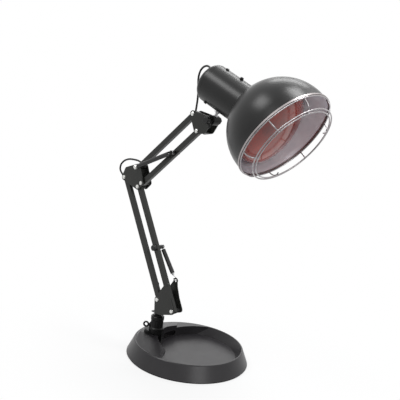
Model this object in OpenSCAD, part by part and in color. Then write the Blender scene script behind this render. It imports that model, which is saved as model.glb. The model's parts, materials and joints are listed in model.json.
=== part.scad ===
// Infrared heat therapy lamp: a swing-arm desk lamp with a wire guard over a red reflector bulb.
// A clamp grips the raised land of a heavy dished base. Two parallelogram arms keep the head
// bracket upright, and the head tilts on a knob-locked pivot.
// Millimetres, +Z up. The origin is the centre of the base's underside. The arms swing in planes
// parallel to XZ and reach forward along +X, and the base is turned under them.

/* [Base] */
// Radius of the base shell at its foot
base_r = 97; // [88:1:110]
// Radius of the base at its top edge
rim_r = 86; // [80:1:88]
// Height of the base's top edge
rim_z = 24.5; // [22:0.5:30]
// Width of the flat top edge round the tray
rim_w = 2.2; // [1.5:0.1:4]
// Radius of the tray's flat floor
tray_r = 76; // [70:1:78]
// Height of the tray's floor
tray_z = 10.5; // [10:0.5:12]
// Radius of the upright riser between the tray and the land
riser_r = 80; // [76:1:84]
// How far the riser's own centre lies forward of the base's centre
riser_shift = 31; // [29:0.5:33]
// Wall of the pressed base shell
shell_wall = 2; // [1.5:0.1:2.5]
// Height of the raised land that the clamp grips
land_z = 31; // [30:0.5:34]
// Half angle of the land's top, seen from its outer end
land_spread = 43; // [35:1:48]
// Length of the land's top along the base
land_l = 36; // [32:1:40]
// Half angle of the opening under the land, seen from the riser's centre
slot_half = 38; // [30:1:40]
// Thickness of the foam pad under the base
pad_t = 2; // [1.5:0.1:3]
// Step from the shell's foot in to the pad's edge
pad_inset = 2.5; // [1.5:0.5:5]
// Thickness of the iron ballast plate
ballast_t = 6; // [4:0.5:6.4]
// Angle by which the base is turned under the arms
base_turn = 34; // [0:1:60]

/* [Clamp] */
// Distance from the base's centre back to the swivel axis
column_back = 54; // [53:0.5:56]
// Radius of the clamp's upright barrel
barrel_r = 10.5; // [9:0.5:11]
// Height of the barrel above the land
barrel_h = 29; // [26:0.5:34]
// Thickness of the clamp's two jaws
jaw_t = 5; // [4:0.5:6]
// Width of the clamp's jaws and spine
jaw_w = 20; // [16:0.5:22]
// Length of the upper jaw outward from the swivel axis
jaw_l = 19; // [16:0.5:21]
// Thickness of the clamp's spine
spine_t = 5; // [4:0.5:6]
// Radius of the clamp screw's thread
clamp_screw_r = 3; // [2.5:0.1:3.5]
// Radius of the clamp screw's pressure pad
clamp_pad_r = 7; // [6:0.5:8]
// Radius of the lock screw's thread
lock_r = 2.4; // [2:0.1:3]
// Height of the lock screw above the land
lock_h = 12; // [11:0.5:15]
// Outer radius of the lock screw's ring
lock_ring_r = 5; // [4.6:0.2:6]
// Radius of the lock screw's ring wire
lock_wire_r = 1.4; // [1:0.1:1.6]
// Radius of the swivel pin
swivel_r = 5; // [4:0.1:5.5]
// Radial clearance of turning fits
run_gap = 0.08; // [0.03:0.01:0.1]

/* [Lower arm] */
// Forward place of the rear bar's lower pivot from the swivel axis
pivot_x = 2.5; // [0:0.5:5]
// Height of the rear bar's lower pivot
pivot_z = 88.5; // [86:0.5:95]
// Forward step from the rear to the front lower pivot
lower_step_x = 32.5; // [30:0.5:36]
// Drop from the rear to the front lower pivot
lower_step_z = 9; // [5:0.5:11]
// Pivot to pivot length of the lower bars
lower_l = 203; // [180:1:230]
// Angle by which the lower arm leans back from upright
lower_lean = 30.6; // [22:0.2:34]

/* [Upper arm] */
// Forward step from the rear bar's top pivot to the support bar's pivot
elbow_low_x = 39.3; // [38:0.1:44]
// Drop from the rear bar's top pivot to the support bar's pivot
elbow_low_z = 1.9; // [0:0.1:3]
// Forward step from the rear bar's top pivot to the tie bar's pivot
elbow_top_x = 27.8; // [25:0.1:30]
// Rise from the rear bar's top pivot to the tie bar's pivot
elbow_top_z = 21.7; // [19:0.1:26]
// Pivot to pivot length of the upper bars
upper_l = 141; // [125:1:165]
// Angle by which the upper arm rises above level
upper_rise = 44; // [30:1:55]

/* [Bars and brackets] */
// Width of a bar, seen from the side
bar_w = 8.5; // [7.5:0.1:9]
// Thickness of a bar across the lamp
bar_d = 6; // [5.4:0.1:7]
// Wall of the bars' square tube
bar_wall = 0.9; // [0.7:0.05:1.1]
// Offset of the bars from the middle plane towards the near side
bar_off = 3.5; // [3:0.1:4]
// Width of a bracket over its two cheeks
bracket_w = 19; // [18.4:0.2:22]
// Thickness of a bracket's sheet
sheet_t = 1.5; // [1:0.1:1.8]
// Radius of the sheet round each pivot
lobe_r = 5; // [4.6:0.1:5.6]
// Radius of the pivot rivets
rivet_r = 2; // [1.6:0.1:2.3]
// Radius of the rivets' heads
rivet_head_r = 3.3; // [3:0.1:4]
// Radius of the rivets' shoulders beside the bars
shoulder_r = 3.7; // [3:0.1:4]
// Clearance beside parts that slide on each other
side_gap = 0.15; // [0.1:0.01:0.2]

/* [Springs] */
// Radius of the sleeve over each spring
sleeve_r = 3.5; // [3:0.1:4]
// Wall of the sleeve
sleeve_wall = 0.7; // [0.5:0.05:0.9]
// Radius of the springs' wire
wire_r = 0.6; // [0.4:0.05:0.7]
// Place of the lower spring's bolt along the front bar
lower_bolt_s = 102; // [96:1:110]
// Place of the upper spring's bolt along the support bar
upper_bolt_s = 85; // [78:1:92]
// Forward place of the lower spring's eye from the front lower pivot
eye_x = -14.8; // [-18:0.2:-12]
// Height of the lower spring's eye above the front lower pivot
eye_z = 43; // [40:0.5:46]

/* [Head] */
// Forward step from the support bar's head pivot to the tilt pivot
tilt_x = 21.7; // [20:0.1:25]
// Rise from the support bar's head pivot to the tilt pivot
tilt_z = 18.7; // [16:0.1:20]
// Angle by which the housing dips below level
housing_dip = 21.4; // [5:0.2:30]
// Angle by which the shade nods below the housing's axis
shade_nod = 13; // [8:0.5:16]
// Radius of the lamp housing's tube
housing_r = 28.5; // [27:0.5:31]
// Wall of the housing's tube
housing_wall = 1.2; // [1:0.1:1.5]
// Distance from the rear edge of the housing to the stem
stem_s = 29.4; // [27:0.2:33]
// Distance from the tilt pivot up to the housing's surface
stem_h = 16; // [14:0.5:20]
// Radius of the stem
stem_r = 2.8; // [2.4:0.1:3.2]
// Radius of the tilt knuckle
knuckle_r = 7.5; // [7:0.5:9]
// Radius of the tilt bolt
bolt_r = 3; // [2.5:0.1:3.2]
// Radius of the tilt knob
knob_r = 5.2; // [4.6:0.1:6]
// Length of the tilt knob
knob_h = 8; // [6:0.5:10]
// Depth of the rear cap's rounded end behind the housing's rear line
cap_back = 7; // [6:0.5:9]
// Length of the rear cap's spigot inside the housing
cap_spigot = 16; // [12:0.5:20]
// Wall of the rear cap
cap_wall = 1; // [0.8:0.05:1.2]
// Height of the lead's gland above the rear cap's centre
gland_up = 17; // [14:0.5:19]

/* [Shade and guard] */
// Outer radius of the shade's bowl
bowl_r = 73; // [70:0.5:78]
// Distance from the housing's rear edge to the bowl's centre
bowl_s = 139; // [134:0.5:142]
// Depth of the shade's skirt below the bowl's widest ring
skirt_h = 8.7; // [6:0.1:12]
// Wall of the spun shade
shade_wall = 1.2; // [1:0.1:1.5]
// Thickness of the trim ring folded over the shade's mouth
trim_t = 0.6; // [0.6:0.1:1]
// Radius of the guard's wire
guard_wire_r = 0.9; // [0.8:0.1:1.3]
// Depth of the guard in front of the shade's mouth
guard_h = 16; // [12:0.5:22]
// Radius of the guard's front ring
guard_front_r = 60; // [54:0.5:64]
// Radius of the guard's second ring
guard_mid_r = 64; // [60:0.5:66]
// Number of the guard's ribs
rib_count = 8; // [6:1:10]

/* [Bulb] */
// Greatest radius of the reflector bulb
bulb_r = 59; // [54:0.5:60]
// Distance from the housing's rear edge to the bulb's face
bulb_front = 138; // [134:0.5:140]
// Radius of the bulb's neck
bulb_neck_r = 17.5; // [16:0.5:19]
// Radius of the bulb's screw cap
bulb_cap_r = 13.2; // [12.8:0.1:13.5]
// Outer radius of the porcelain lampholder
holder_r = 20; // [19:0.5:21]
// Length of the lampholder
holder_l = 42; // [38:0.5:46]

/* [Switch] */
// Distance from the housing's rear edge to the switch
switch_s = 44; // [40:0.5:52]
// Radius of the switch's knob
switch_r = 2.6; // [2.2:0.1:3.2]

/* [Lead] */
// Radius of the flexible lead
lead_r = 1.5; // [1.3:0.1:1.5]

/* [Hidden] */
$fn = 64;
eps = 0.01;
seat = 0.1;       // gap between pieces that seat on each other
hull_fn = 96;     // sides of the land's outline
wire_fn = 14;     // sides of a wire's section
lead_sides = 8;   // sides of the lead's section

// Pivots in the arm plane, as [x, z] from the swivel axis at floor level
function along(p, angle, s) = [p.x + s * cos(angle), p.y + s * sin(angle)];
lower_angle = 90 + lower_lean;
pin_a = [pivot_x, pivot_z];
pin_c = [pivot_x + lower_step_x, pivot_z - lower_step_z];
pin_b = along(pin_a, lower_angle, lower_l);
pin_d = along(pin_c, lower_angle, lower_l);
pin_e = [pin_b.x + elbow_low_x, pin_b.y - elbow_low_z];
pin_f = [pin_b.x + elbow_top_x, pin_b.y + elbow_top_z];
pin_g = along(pin_e, upper_rise, upper_l);
pin_h = along(pin_f, upper_rise, upper_l);
pin_t = [pin_g.x + tilt_x, pin_g.y + tilt_z];
eye = [pin_c.x + eye_x, pin_c.y + eye_z];
lower_anchor = along(pin_c, lower_angle, lower_bolt_s);
upper_anchor = along(pin_e, upper_rise, upper_bolt_s);

// Planes across the lamp, near side negative
cheek_out = bracket_w / 2;
cheek_in = cheek_out - sheet_t;
bar_near = -bar_off - bar_d / 2;
bar_far = -bar_off + bar_d / 2;
lower_spring_y = cheek_out - sheet_t / 2;
upper_spring_y = -cheek_out - sleeve_r - 0.6;

// Heights and places in the base and the clamp
column_x = -column_back * cos(base_turn);
column_y = -column_back * sin(base_turn);
rim_in = rim_r - rim_w;
cone_slope = (base_r - rim_r) / rim_z;
roof_t = 3;                                   // thickness of the land's top
ballast_z = pad_t + 0.1;
screw_ring = 45;                              // radius of the ring of ballast screws
screw_r = 1.6;
boss_r = 4;
well_r = 15;                                  // radius of the well below the clamp screw
clamp_x = -column_back - 6;                   // place of the clamp screw along the base
jaw_low_z = tray_z + 2;                       // underside of the clamp's lower jaw
barrel_top = land_z + barrel_h;
bore_floor = land_z + jaw_t + 1;
web_z = pivot_z - 22;                         // underside of the lower bracket's web
lock_z = land_z + lock_h;

// Places along the housing's axis, from the line where its tube would end
axis_drop = stem_h + housing_r;
bore_r = housing_r - housing_wall;            // inside radius of the housing
bowl_in_r = bowl_r - shade_wall;
neck_hole_r = 22;                             // hole in the bowl for the bulb's neck
cap_round = 9;                                // rounding of the rear cap's edge
cap_seam = 5;                                 // where the rear cap meets the tube
holder_s = 8;                                 // rear face of the lampholder
socket_s = holder_s + 5;                      // floor of its socket
socket_l = 25;                                // depth of the socket's threaded part
mouth_z = skirt_h;                            // the shade's mouth, from the bowl's centre
mouth_r = bowl_r + 0.6;
guard_z = mouth_z + trim_t + guard_wire_r + seat;

module at_arm() { translate([column_x, column_y, 0]) children(); }
module at_base() { rotate([0, 0, base_turn]) children(); }
module at_head() {
  at_arm() translate([pin_t.x, 0, pin_t.y]) rotate([0, 90 + housing_dip, 0])
    translate([-axis_drop, 0, -stem_s]) children();
}
module at_shade() { at_head() translate([0, 0, bowl_s]) rotate([0, shade_nod, 0]) children(); }

// A flat shape drawn in x and z, given thickness from y0 to y1
module slab(y0, y1) { translate([0, y1, 0]) rotate([90, 0, 0]) linear_extrude(y1 - y0) children(); }

// A round bar across the lamp at a pivot
module crossbar(p, y0, y1, r) {
  translate([p.x, y0, p.y]) rotate([-90, 0, 0]) cylinder(r = r, h = y1 - y0);
}

// A profile of [radius, y] points turned round a pivot's axis
module turned(p, profile) {
  translate([p.x, 0, p.y]) rotate([-90, 0, 0]) rotate_extrude() polygon(profile);
}

// A flat outline through the points, widened by r with round corners
module rounded_outline(points, r) {
  n = len(points);
  polygon(points);
  for (i = [0 : n - 1]) {
    a = points[i];
    b = points[(i + 1) % n];
    d = (b - a) / norm(b - a);
    side = [d.y, -d.x] * r;
    translate(a) circle(r);
    polygon([a - side, a + side, b + side, b - side]);
  }
}

// A straight rod between two points in space
module rod(a, b, r) {
  d = b - a;
  translate(a) rotate([0, acos(d.z / norm(d)), atan2(d.y, d.x)]) cylinder(r = r, h = norm(d));
}

// Part of a wire ring round the z axis
module wire_ring(ring_r, r, angle = 360) {
  rotate_extrude(angle = angle, $fn = 48) translate([ring_r, 0]) circle(r, $fn = wire_fn);
}

// Tube swept along a smooth route: rings of points joined by side faces and two end faces
function ring_frame(route, i) =
  let (n = len(route),
       t = route[min(i + 1, n - 1)] - route[max(i - 1, 0)],
       s = cross(t, [0, 1, 0]),
       u = s / norm(s),
       v = cross(t, u))
  [u, v / norm(v)];
function tube_points(route, r) = [
  for (i = [0 : len(route) - 1]) let (f = ring_frame(route, i))
    for (k = [0 : lead_sides - 1]) let (a = 360 * k / lead_sides)
      route[i] + r * (cos(a) * f[0] + sin(a) * f[1])
];
function tube_faces(rings) = concat(
  [[for (k = [lead_sides - 1 : -1 : 0]) k]],
  [for (i = [0 : rings - 2], k = [0 : lead_sides - 1])
    let (a = i * lead_sides, b = (k + 1) % lead_sides)
    [a + k, a + b, a + lead_sides + b, a + lead_sides + k]],
  [[for (k = [0 : lead_sides - 1]) (rings - 1) * lead_sides + k]]
);
module swept_tube(route, r) { polyhedron(tube_points(route, r), tube_faces(len(route))); }

// Smooth route through hand-set points, with steps pieces between each two of them
function spline_at(a, b, c, d, t) =
  0.5 * (2 * b + (c - a) * t + (2 * a - 5 * b + 4 * c - d) * t * t
  + (3 * b - a - 3 * c + d) * t * t * t);
function smooth_route(p, steps) = concat(
  [for (i = [0 : len(p) - 2], k = [0 : steps - 1])
    spline_at(p[max(i - 1, 0)], p[i], p[i + 1], p[min(i + 2, len(p) - 1)], k / steps)],
  [p[len(p) - 1]]
);

// Hand-set points of the lead's four stretches, each from the pivot that it lies near
lead_steps = 2;
function from_pin(pin, points) = [for (p = points) [pin.x + p.x, p.y, pin.y + p.z]];
head_loop = from_pin(pin_h, [
  [16.91, 0, 67.62], [14.11, 0, 68.72], [7.61, 0.5, 70.62], [0.11, 1, 68.12],
  [-5.39, 1.5, 61.62], [-7.59, 2, 52.12], [-6.79, 2.5, 41.12], [-5.49, 3, 30.12],
  [-5.39, 3.5, 19.12], [-5.99, 3.5, 3.72]
]);
upper_run = concat(
  from_pin(pin_h, [
    [-6.01, 3.5, 3.42], [-6.49, 3.5, -0.28], [-8.19, 2.6, -4.88], [-11.59, -1, -10.48],
    [-14.79, -3.2, -14.68], [-21.39, -3.5, -21.08]
  ]),
  from_pin((pin_f + pin_h) / 2, [
    [-1.68, -3.5, -2]
  ]),
  from_pin(pin_f, [
    [21.04, -3.5, 19.97], [14.04, -3.2, 13.67], [10.44, -1, 10.67], [7.04, 2.3, 8.27],
    [3.04, 3.4, 6.67], [-0.76, 3.5, 6.07]
  ])
);
elbow_loop = from_pin(pin_b, [
  [26.64, 3.5, 27.72], [23.84, 3.5, 27.67], [17.84, 3.5, 28.67], [12.84, 3.5, 29.37],
  [2.84, 3.5, 29.17], [-7.16, 3.5, 27.77], [-17.16, 3.5, 23.37], [-24.16, 3.5, 15.77],
  [-24.56, 3.5, 7.37], [-18.16, 3.5, 0.97], [-10.16, 3.5, -2.83], [-1.56, 3.5, -5.83]
]);
lower_run = concat(
  from_pin(pin_b, [
    [-1.06, 3.5, -6.18], [2.24, 3.4, -8.83], [5.44, 2.2, -13.03], [8.24, -1, -16.43],
    [10.84, -3.2, -20.23], [14.84, -3.5, -25.03]
  ]),
  from_pin(pin_a, [
    [-62.5, -3.5, 105.7], [-36.5, -3.5, 61.7], [-15.7, -3.5, 26.5], [-13.7, -3.3, 23.1],
    [-12.5, -2.4, 21.1], [-12.27, -0.8, 20.74], [-12.17, 1.5, 20.57]
  ])
);

// ---------------------------------------------------------------- base
module ballast_bosses(r, h) {
  for (a = [0, 120, 240]) rotate([0, 0, a]) translate([screw_ring, 0, 0]) cylinder(r = r, h = h);
}

// The dished tray, bounded at the back by the upright riser
module tray_space() {
  wall_slope = (rim_in - tray_r) / (rim_z - tray_z);
  intersection() {
    translate([0, 0, tray_z]) cylinder(r1 = tray_r, r2 = rim_in + wall_slope, h = rim_z - tray_z + 1);
    translate([riser_shift, 0, 0]) cylinder(r = riser_r, h = land_z + 1);
  }
}

// The raised land: a fan-shaped flat top with flanks that fall to the rim
module land_block() {
  tip = -(rim_in - 5);
  back = tip + land_l;
  half = land_l * tan(land_spread);
  difference() {
    hull() {
      translate([0, 0, land_z - 1]) linear_extrude(1)
        polygon([[tip, 3], [tip, -3], [back, -half], [back + 16, -half], [back + 16, half], [back, half]]);
      intersection() {
        translate([0, 0, tray_z]) cylinder(r = rim_in, h = rim_z - tray_z, $fn = hull_fn);
        translate([-base_r - 30, -base_r, 0]) cube([base_r, 2 * base_r, land_z]);
      }
    }
    translate([riser_shift, 0, -1]) cylinder(r = riser_r, h = land_z + 3);
  }
}

// Room under the land for the clamp's lower jaw and its screw
module land_hollow() {
  slot_reach = riser_r * sin(slot_half);
  difference() {
    intersection() {
      cylinder(r = rim_in - 7, h = rim_z - roof_t);
      translate([-base_r, -slot_reach - 8, 0]) cube([base_r + 6, 2 * slot_reach + 16, land_z]);
    }
    translate([riser_shift, 0, -1]) cylinder(r = riser_r + shell_wall, h = land_z);
  }
  translate([clamp_x, 0, 0]) cylinder(r = clamp_pad_r + 2, h = land_z - roof_t);
}

// Opening in the riser between the tray and the room under the land, with round ends
module riser_slot() {
  slot_h = rim_z - roof_t - tray_z - 2;
  translate([riser_shift, 0, tray_z + 1]) {
    rotate([0, 0, 180 - slot_half]) rotate_extrude(angle = 2 * slot_half)
      translate([riser_r - 4, 0]) square([9, slot_h]);
    for (side = [-1, 1]) rotate([0, 0, 180 + side * slot_half])
      translate([riser_r - 4, 0, slot_h / 2]) rotate([0, 90, 0]) cylinder(d = slot_h, h = 9);
  }
}

module base_shell() color([0.1, 0.1, 0.1]) at_base() difference() {
  union() {
    difference() {
      rotate_extrude() polygon([
        [0, pad_t], [base_r - pad_t * cone_slope, pad_t], [rim_r + cone_slope, rim_z - 1],
        [rim_r - 0.6, rim_z], [0, rim_z]
      ]);
      tray_space();
    }
    land_block();
  }
  difference() {
    translate([0, 0, -1]) cylinder(r = base_r - 2 * shell_wall - tray_z * cone_slope,
      h = tray_z - shell_wall + 1);
    translate([0, 0, pad_t]) ballast_bosses(boss_r, tray_z);
  }
  ballast_bosses(screw_r, tray_z - shell_wall);
  land_hollow();
  riser_slot();
}

// Round well through the pad and the ballast, so that the clamp screw can be reached
module clamp_well() { translate([clamp_x, 0, -1]) cylinder(r = well_r, h = land_z); }

module base_pad() color([0.05, 0.05, 0.05]) at_base() difference() {
  cylinder(r = base_r - pad_inset, h = pad_t);
  clamp_well();
  translate([0, 0, -1]) ballast_bosses(screw_r + 2, pad_t + 2);
}

module ballast() color([0.2, 0.2, 0.21]) at_base() difference() {
  translate([0, 0, ballast_z]) cylinder(r = base_r - 2 * shell_wall - tray_z * cone_slope - 0.5,
    h = ballast_t);
  clamp_well();
  ballast_bosses(boss_r + 0.3, tray_z);
}

module ballast_screws() color("silver") at_base() translate([0, 0, 0.6]) {
  ballast_bosses(screw_r + 1.6, pad_t - 0.7);
  ballast_bosses(screw_r - seat, pad_t + 4);
}

// ---------------------------------------------------------------- clamp and swivel
// A jaw's outline: square at the spine and round at its outer end
module jaw_outline(inner_x, outer_x) {
  round_r = jaw_w / 2;
  translate([outer_x + round_r, -round_r]) square([inner_x - outer_x - round_r, jaw_w]);
  translate([outer_x + round_r, 0]) circle(round_r);
}

module clamp_frame() color([0.07, 0.07, 0.07]) at_base() {
  spine_in = riser_shift - sqrt(pow(riser_r, 2) - pow(jaw_w / 2, 2)) + 0.3;
  spine_out = spine_in + spine_t;
  flute_n = 10;
  difference() {
    union() {
      translate([0, 0, land_z]) linear_extrude(jaw_t) jaw_outline(spine_out, -column_back - jaw_l);
      translate([0, 0, jaw_low_z]) linear_extrude(jaw_t) jaw_outline(spine_out, clamp_x - jaw_w / 2);
      translate([spine_in, -jaw_w / 2, jaw_low_z])
        cube([spine_t, jaw_w, land_z + jaw_t - jaw_low_z]);
      // barrel with a plinth, a collar and a chamfered top
      translate([-column_back, 0, 0]) rotate_extrude() polygon([
        [0, land_z + 1], [barrel_r + 1.2, land_z + 1], [barrel_r + 1.2, land_z + jaw_t + 4],
        [barrel_r - 0.6, land_z + jaw_t + 6], [barrel_r - 0.6, barrel_top - 7],
        [barrel_r, barrel_top - 6], [barrel_r, barrel_top - 1], [barrel_r - 1, barrel_top],
        [0, barrel_top]
      ]);
      // boss for the lock screw
      translate([-column_back, 0, lock_z]) rotate([0, -90, 0])
        cylinder(r = lock_r + 2.2, h = barrel_r + 0.8);
    }
    translate([-column_back, 0, bore_floor]) cylinder(r = swivel_r + run_gap, h = barrel_h);
    translate([-column_back, 0, lock_z]) rotate([0, -90, 0])
      cylinder(r = lock_r + run_gap, h = barrel_r + 2);
    translate([clamp_x, 0, jaw_low_z - 1]) cylinder(r = clamp_screw_r + run_gap, h = jaw_t + 2);
    // upright flutes round the barrel's waist
    for (i = [0 : flute_n - 1])
      translate([-column_back, 0, land_z + jaw_t + 7]) rotate([0, 0, 18 + i * 360 / flute_n])
        translate([barrel_r + 0.1, 0, 0]) cylinder(r = 1.3, h = barrel_h - jaw_t - 15);
  }
}

clamp_tip_z = land_z - roof_t - 3.4;      // the screw's tip, inside its pad
module clamp_screw() color([0.6, 0.6, 0.62]) at_base() translate([clamp_x, 0, 0]) {
  translate([0, 0, 8]) cylinder(r = clamp_screw_r, h = clamp_tip_z - 8);
  difference() {
    translate([0, 0, pad_t + 1]) cylinder(r = clamp_screw_r + 3.4, h = jaw_low_z - pad_t - 2.5);
    translate([0, 0, pad_t + 3.6]) rotate([90, 0, 0]) cylinder(r = 1.2, h = 40, center = true);
  }
}

module clamp_pad() color([0.05, 0.05, 0.05]) at_base() translate([clamp_x, 0, 0]) difference() {
  translate([0, 0, clamp_tip_z - 1.6]) cylinder(r = clamp_pad_r, h = land_z - roof_t - seat - clamp_tip_z + 1.6);
  translate([0, 0, clamp_tip_z - 3]) cylinder(r = clamp_screw_r + seat, h = 3 + seat);
}

// Lock screw with a wire ring to turn it by
module lock_screw() color([0.08, 0.08, 0.08]) at_base() translate([-column_back, 0, lock_z])
  rotate([0, -90, 0]) {
    ring_mid = lock_ring_r - lock_wire_r;
    shaft_end = barrel_r + 3;
    translate([0, 0, swivel_r + seat]) cylinder(r = lock_r, h = shaft_end - swivel_r - seat);
    translate([0, 0, shaft_end + ring_mid]) rotate([90, 0, 0]) wire_ring(ring_mid, lock_wire_r);
  }

module swivel_pin() color([0.55, 0.55, 0.56]) at_arm() {
  translate([0, 0, bore_floor + 0.3]) cylinder(r = swivel_r, h = web_z - bore_floor - 0.3);
  translate([0, 0, barrel_top + side_gap]) cylinder(r = swivel_r + 2.5, h = 1.6);
  translate([0, 0, web_z - 2]) cylinder(r = swivel_r + 1.5, h = 2);
  translate([0, 0, web_z - eps]) cylinder(r = swivel_r - 2, h = sheet_t + 1.2);
}

// ---------------------------------------------------------------- brackets and rivets
bore_gap = rivet_r + run_gap;

// Holes through a bracket's two cheeks
module cheek_holes(pins, r) {
  for (p = pins) crossbar(p, -cheek_out - 1, cheek_out + 1, r);
}

// Rivet through both cheeks, with shoulders that hold a bar in its place across the lamp
function rivet_profile() = [
  [0, -cheek_out - 1.5], [rivet_head_r - 1.3, -cheek_out - 1.5], [rivet_head_r - 0.3, -cheek_out - 0.9],
  [rivet_head_r, -cheek_out], [rivet_r, -cheek_out], [rivet_r, -cheek_in],
  [shoulder_r, -cheek_in], [shoulder_r, bar_near - side_gap], [rivet_r, bar_near - side_gap],
  [rivet_r, bar_far + side_gap], [shoulder_r, bar_far + side_gap], [shoulder_r, cheek_in],
  [rivet_r, cheek_in], [rivet_r, cheek_out], [rivet_head_r, cheek_out],
  [rivet_head_r - 0.3, cheek_out + 0.9], [rivet_head_r - 1.3, cheek_out + 1.5], [0, cheek_out + 1.5]
];

module lower_bracket() color([0.13, 0.13, 0.12]) at_arm() {
  foot_a = [pin_a.x + 2, web_z + lobe_r];
  foot_b = [pin_a.x + 10, web_z + lobe_r + 0.6];
  waist = [pin_c.x - 9.5, pin_c.y + 16];
  horn = [eye.x - 0.4, eye.y - 6.5];
  difference() {
    union() {
      slab(-cheek_out, -cheek_in) rounded_outline([pin_a, foot_a, foot_b, pin_c, waist, horn], lobe_r);
      slab(cheek_in, cheek_out) {
        rounded_outline([pin_a, foot_a, foot_b, pin_c + [1, 1], waist + [2, 0], eye - [1, 6]], lobe_r);
        translate(eye) circle(lobe_r - 0.6);
        rounded_outline([eye, eye - [0.6, 8], waist], 3.6);
      }
      translate([-swivel_r - 1, -cheek_out, web_z]) cube([swivel_r * 2 + 8, bracket_w, sheet_t]);
    }
    cheek_holes([pin_a, pin_c], rivet_r + seat / 2);
    crossbar(eye, cheek_in - 1, cheek_out + 1, 2.3);
    crossbar(horn, -cheek_out - 1, -cheek_in + 1, 1.2);
    translate([0, 0, web_z - 1]) cylinder(r = swivel_r - 2 + seat, h = sheet_t + 2);
  }
}

module lower_rivets() color("silver") at_arm() {
  turned(pin_a, rivet_profile());
  turned(pin_c, rivet_profile());
}

// Square tube with round solid ends, bored for its rivets
module bar(from, angle, l) {
  solid_end = 6.5;
  translate([from.x, 0, from.y]) rotate([0, -angle, 0]) difference() {
    union() {
      translate([0, bar_near, -bar_w / 2]) cube([l, bar_d, bar_w]);
      for (s = [0, l]) translate([s, bar_near, 0]) rotate([-90, 0, 0]) cylinder(r = bar_w / 2, h = bar_d);
    }
    translate([solid_end, bar_near + bar_wall, bar_wall - bar_w / 2])
      cube([l - 2 * solid_end, bar_d - 2 * bar_wall, bar_w - 2 * bar_wall]);
    for (s = [0, l]) translate([s, bar_near - 1, 0]) rotate([-90, 0, 0]) cylinder(r = bore_gap, h = bar_d + 2);
    children();
  }
}

// Slot with round ends in a bar's far wall, where the lead goes in
module lead_slot(s0, s1) {
  half = lead_r + 0.9;
  translate([s0, bar_far - bar_wall - 0.5, -half]) cube([s1 - s0, bar_wall + 1, 2 * half]);
  for (s = [s0, s1]) translate([s, bar_far - bar_wall - 0.5, 0]) rotate([-90, 0, 0])
    cylinder(r = half, h = bar_wall + 1);
}

// Hole through both walls of a bar
module bar_hole(s, r) {
  translate([s, bar_near - 1, 0]) rotate([-90, 0, 0]) cylinder(r = r, h = bar_d + 2);
}

slot_in = 9;                              // nearest end of a lead slot from the pivot
slot_out = 21;                            // far end of a lead slot from the pivot
outlet_s = 24;                            // place of the outlet along the rear bar

module rear_bar() color([0.14, 0.14, 0.13]) at_arm() bar(pin_a, lower_angle, lower_l) {
  lead_slot(lower_l - slot_out, lower_l - slot_in);
  translate([outlet_s, bar_far - bar_wall - 0.5, 0]) rotate([-90, 0, 0])
    cylinder(r = lead_r + 1.1, h = bar_wall + 1);
}

module front_bar() color([0.14, 0.14, 0.13]) at_arm() bar(pin_c, lower_angle, lower_l)
  bar_hole(lower_bolt_s, rivet_r + seat / 2);

module support_bar() color([0.14, 0.14, 0.13]) at_arm() bar(pin_e, upper_rise, upper_l)
  bar_hole(upper_bolt_s, rivet_r + seat / 2);

module tie_bar() color([0.14, 0.14, 0.13]) at_arm() bar(pin_f, upper_rise, upper_l) {
  lead_slot(slot_in, slot_out);
  lead_slot(upper_l - slot_out, upper_l - slot_in);
}

// Rubber grommet in the rear bar's outlet hole
module outlet_grommet() color([0.04, 0.04, 0.04]) at_arm()
  translate([pin_a.x, 0, pin_a.y]) rotate([0, -lower_angle, 0]) translate([outlet_s, 0, 0])
    rotate([-90, 0, 0]) rotate_extrude() polygon([
      [lead_r + 0.2, bar_far - bar_wall], [lead_r + 1, bar_far - bar_wall], [lead_r + 1, bar_far + seat],
      [lead_r + 2.2, bar_far + seat], [lead_r + 1.6, bar_far + 2], [lead_r + 0.2, bar_far + 2]
    ]);

// ---------------------------------------------------------------- springs
// Sleeved tension spring between two points of one plane across the lamp. The pull end has an
// open hook across the plane, and the other end a loop in the plane round a bolt.
coil_pitch = 2 * wire_r;
loop_r = rivet_r + wire_r + seat;

// Close-wound coil with coned-in ends, as a grooved tube
module spring_coil(l) {
  coil_out = sleeve_r - sleeve_wall - 0.2;
  turns = floor((l - 2 * coil_out) / coil_pitch);
  body = turns * coil_pitch;
  cone = (l - body) / 2;
  rotate_extrude() polygon(concat(
    [[0, 0], [wire_r, 0], [coil_out - wire_r, cone]],
    [for (i = [0 : turns - 1], k = [0, 1])
      [coil_out - (k == 0 ? 0 : wire_r * 0.7), cone + (i + 0.5 + k / 2) * coil_pitch]],
    [[wire_r, l], [0, l]]
  ));
}

// Frame with its origin at pull, z towards anchor and x along the lamp's width
module on_line(pull, anchor, y) {
  d = anchor - pull;
  translate([pull.x, y, pull.y]) rotate([0, 90 - atan2(d.y, d.x), 0]) children();
}

module spring(pull, anchor, y, hook_r, pull_loop) {
  l = norm(anchor - pull);
  hook_l = pull_loop ? loop_r : 2 * hook_r;
  start = hook_l + 2;
  finish = l - loop_r - 1.5;
  on_line(pull, anchor, y) {
    if (pull_loop) rotate([90, 0, 0]) wire_ring(loop_r, wire_r);
    else translate([0, 0, hook_r]) rotate([0, 90, 0]) wire_ring(hook_r, wire_r);
    translate([0, 0, hook_l]) cylinder(r = wire_r, h = start - hook_l + 1);
    translate([0, 0, start]) spring_coil(finish - start);
    translate([0, 0, finish - 1]) cylinder(r = wire_r, h = l - loop_r - finish + 1);
    translate([0, 0, l]) rotate([90, 0, 0]) wire_ring(loop_r, wire_r);
  }
}

module sleeve(pull, anchor, y, s0, s1) {
  on_line(pull, anchor, y) translate([0, 0, s0]) difference() {
    cylinder(r = sleeve_r, h = s1 - s0);
    translate([0, 0, -1]) cylinder(r = sleeve_r - sleeve_wall, h = s1 - s0 + 2);
  }
}

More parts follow.
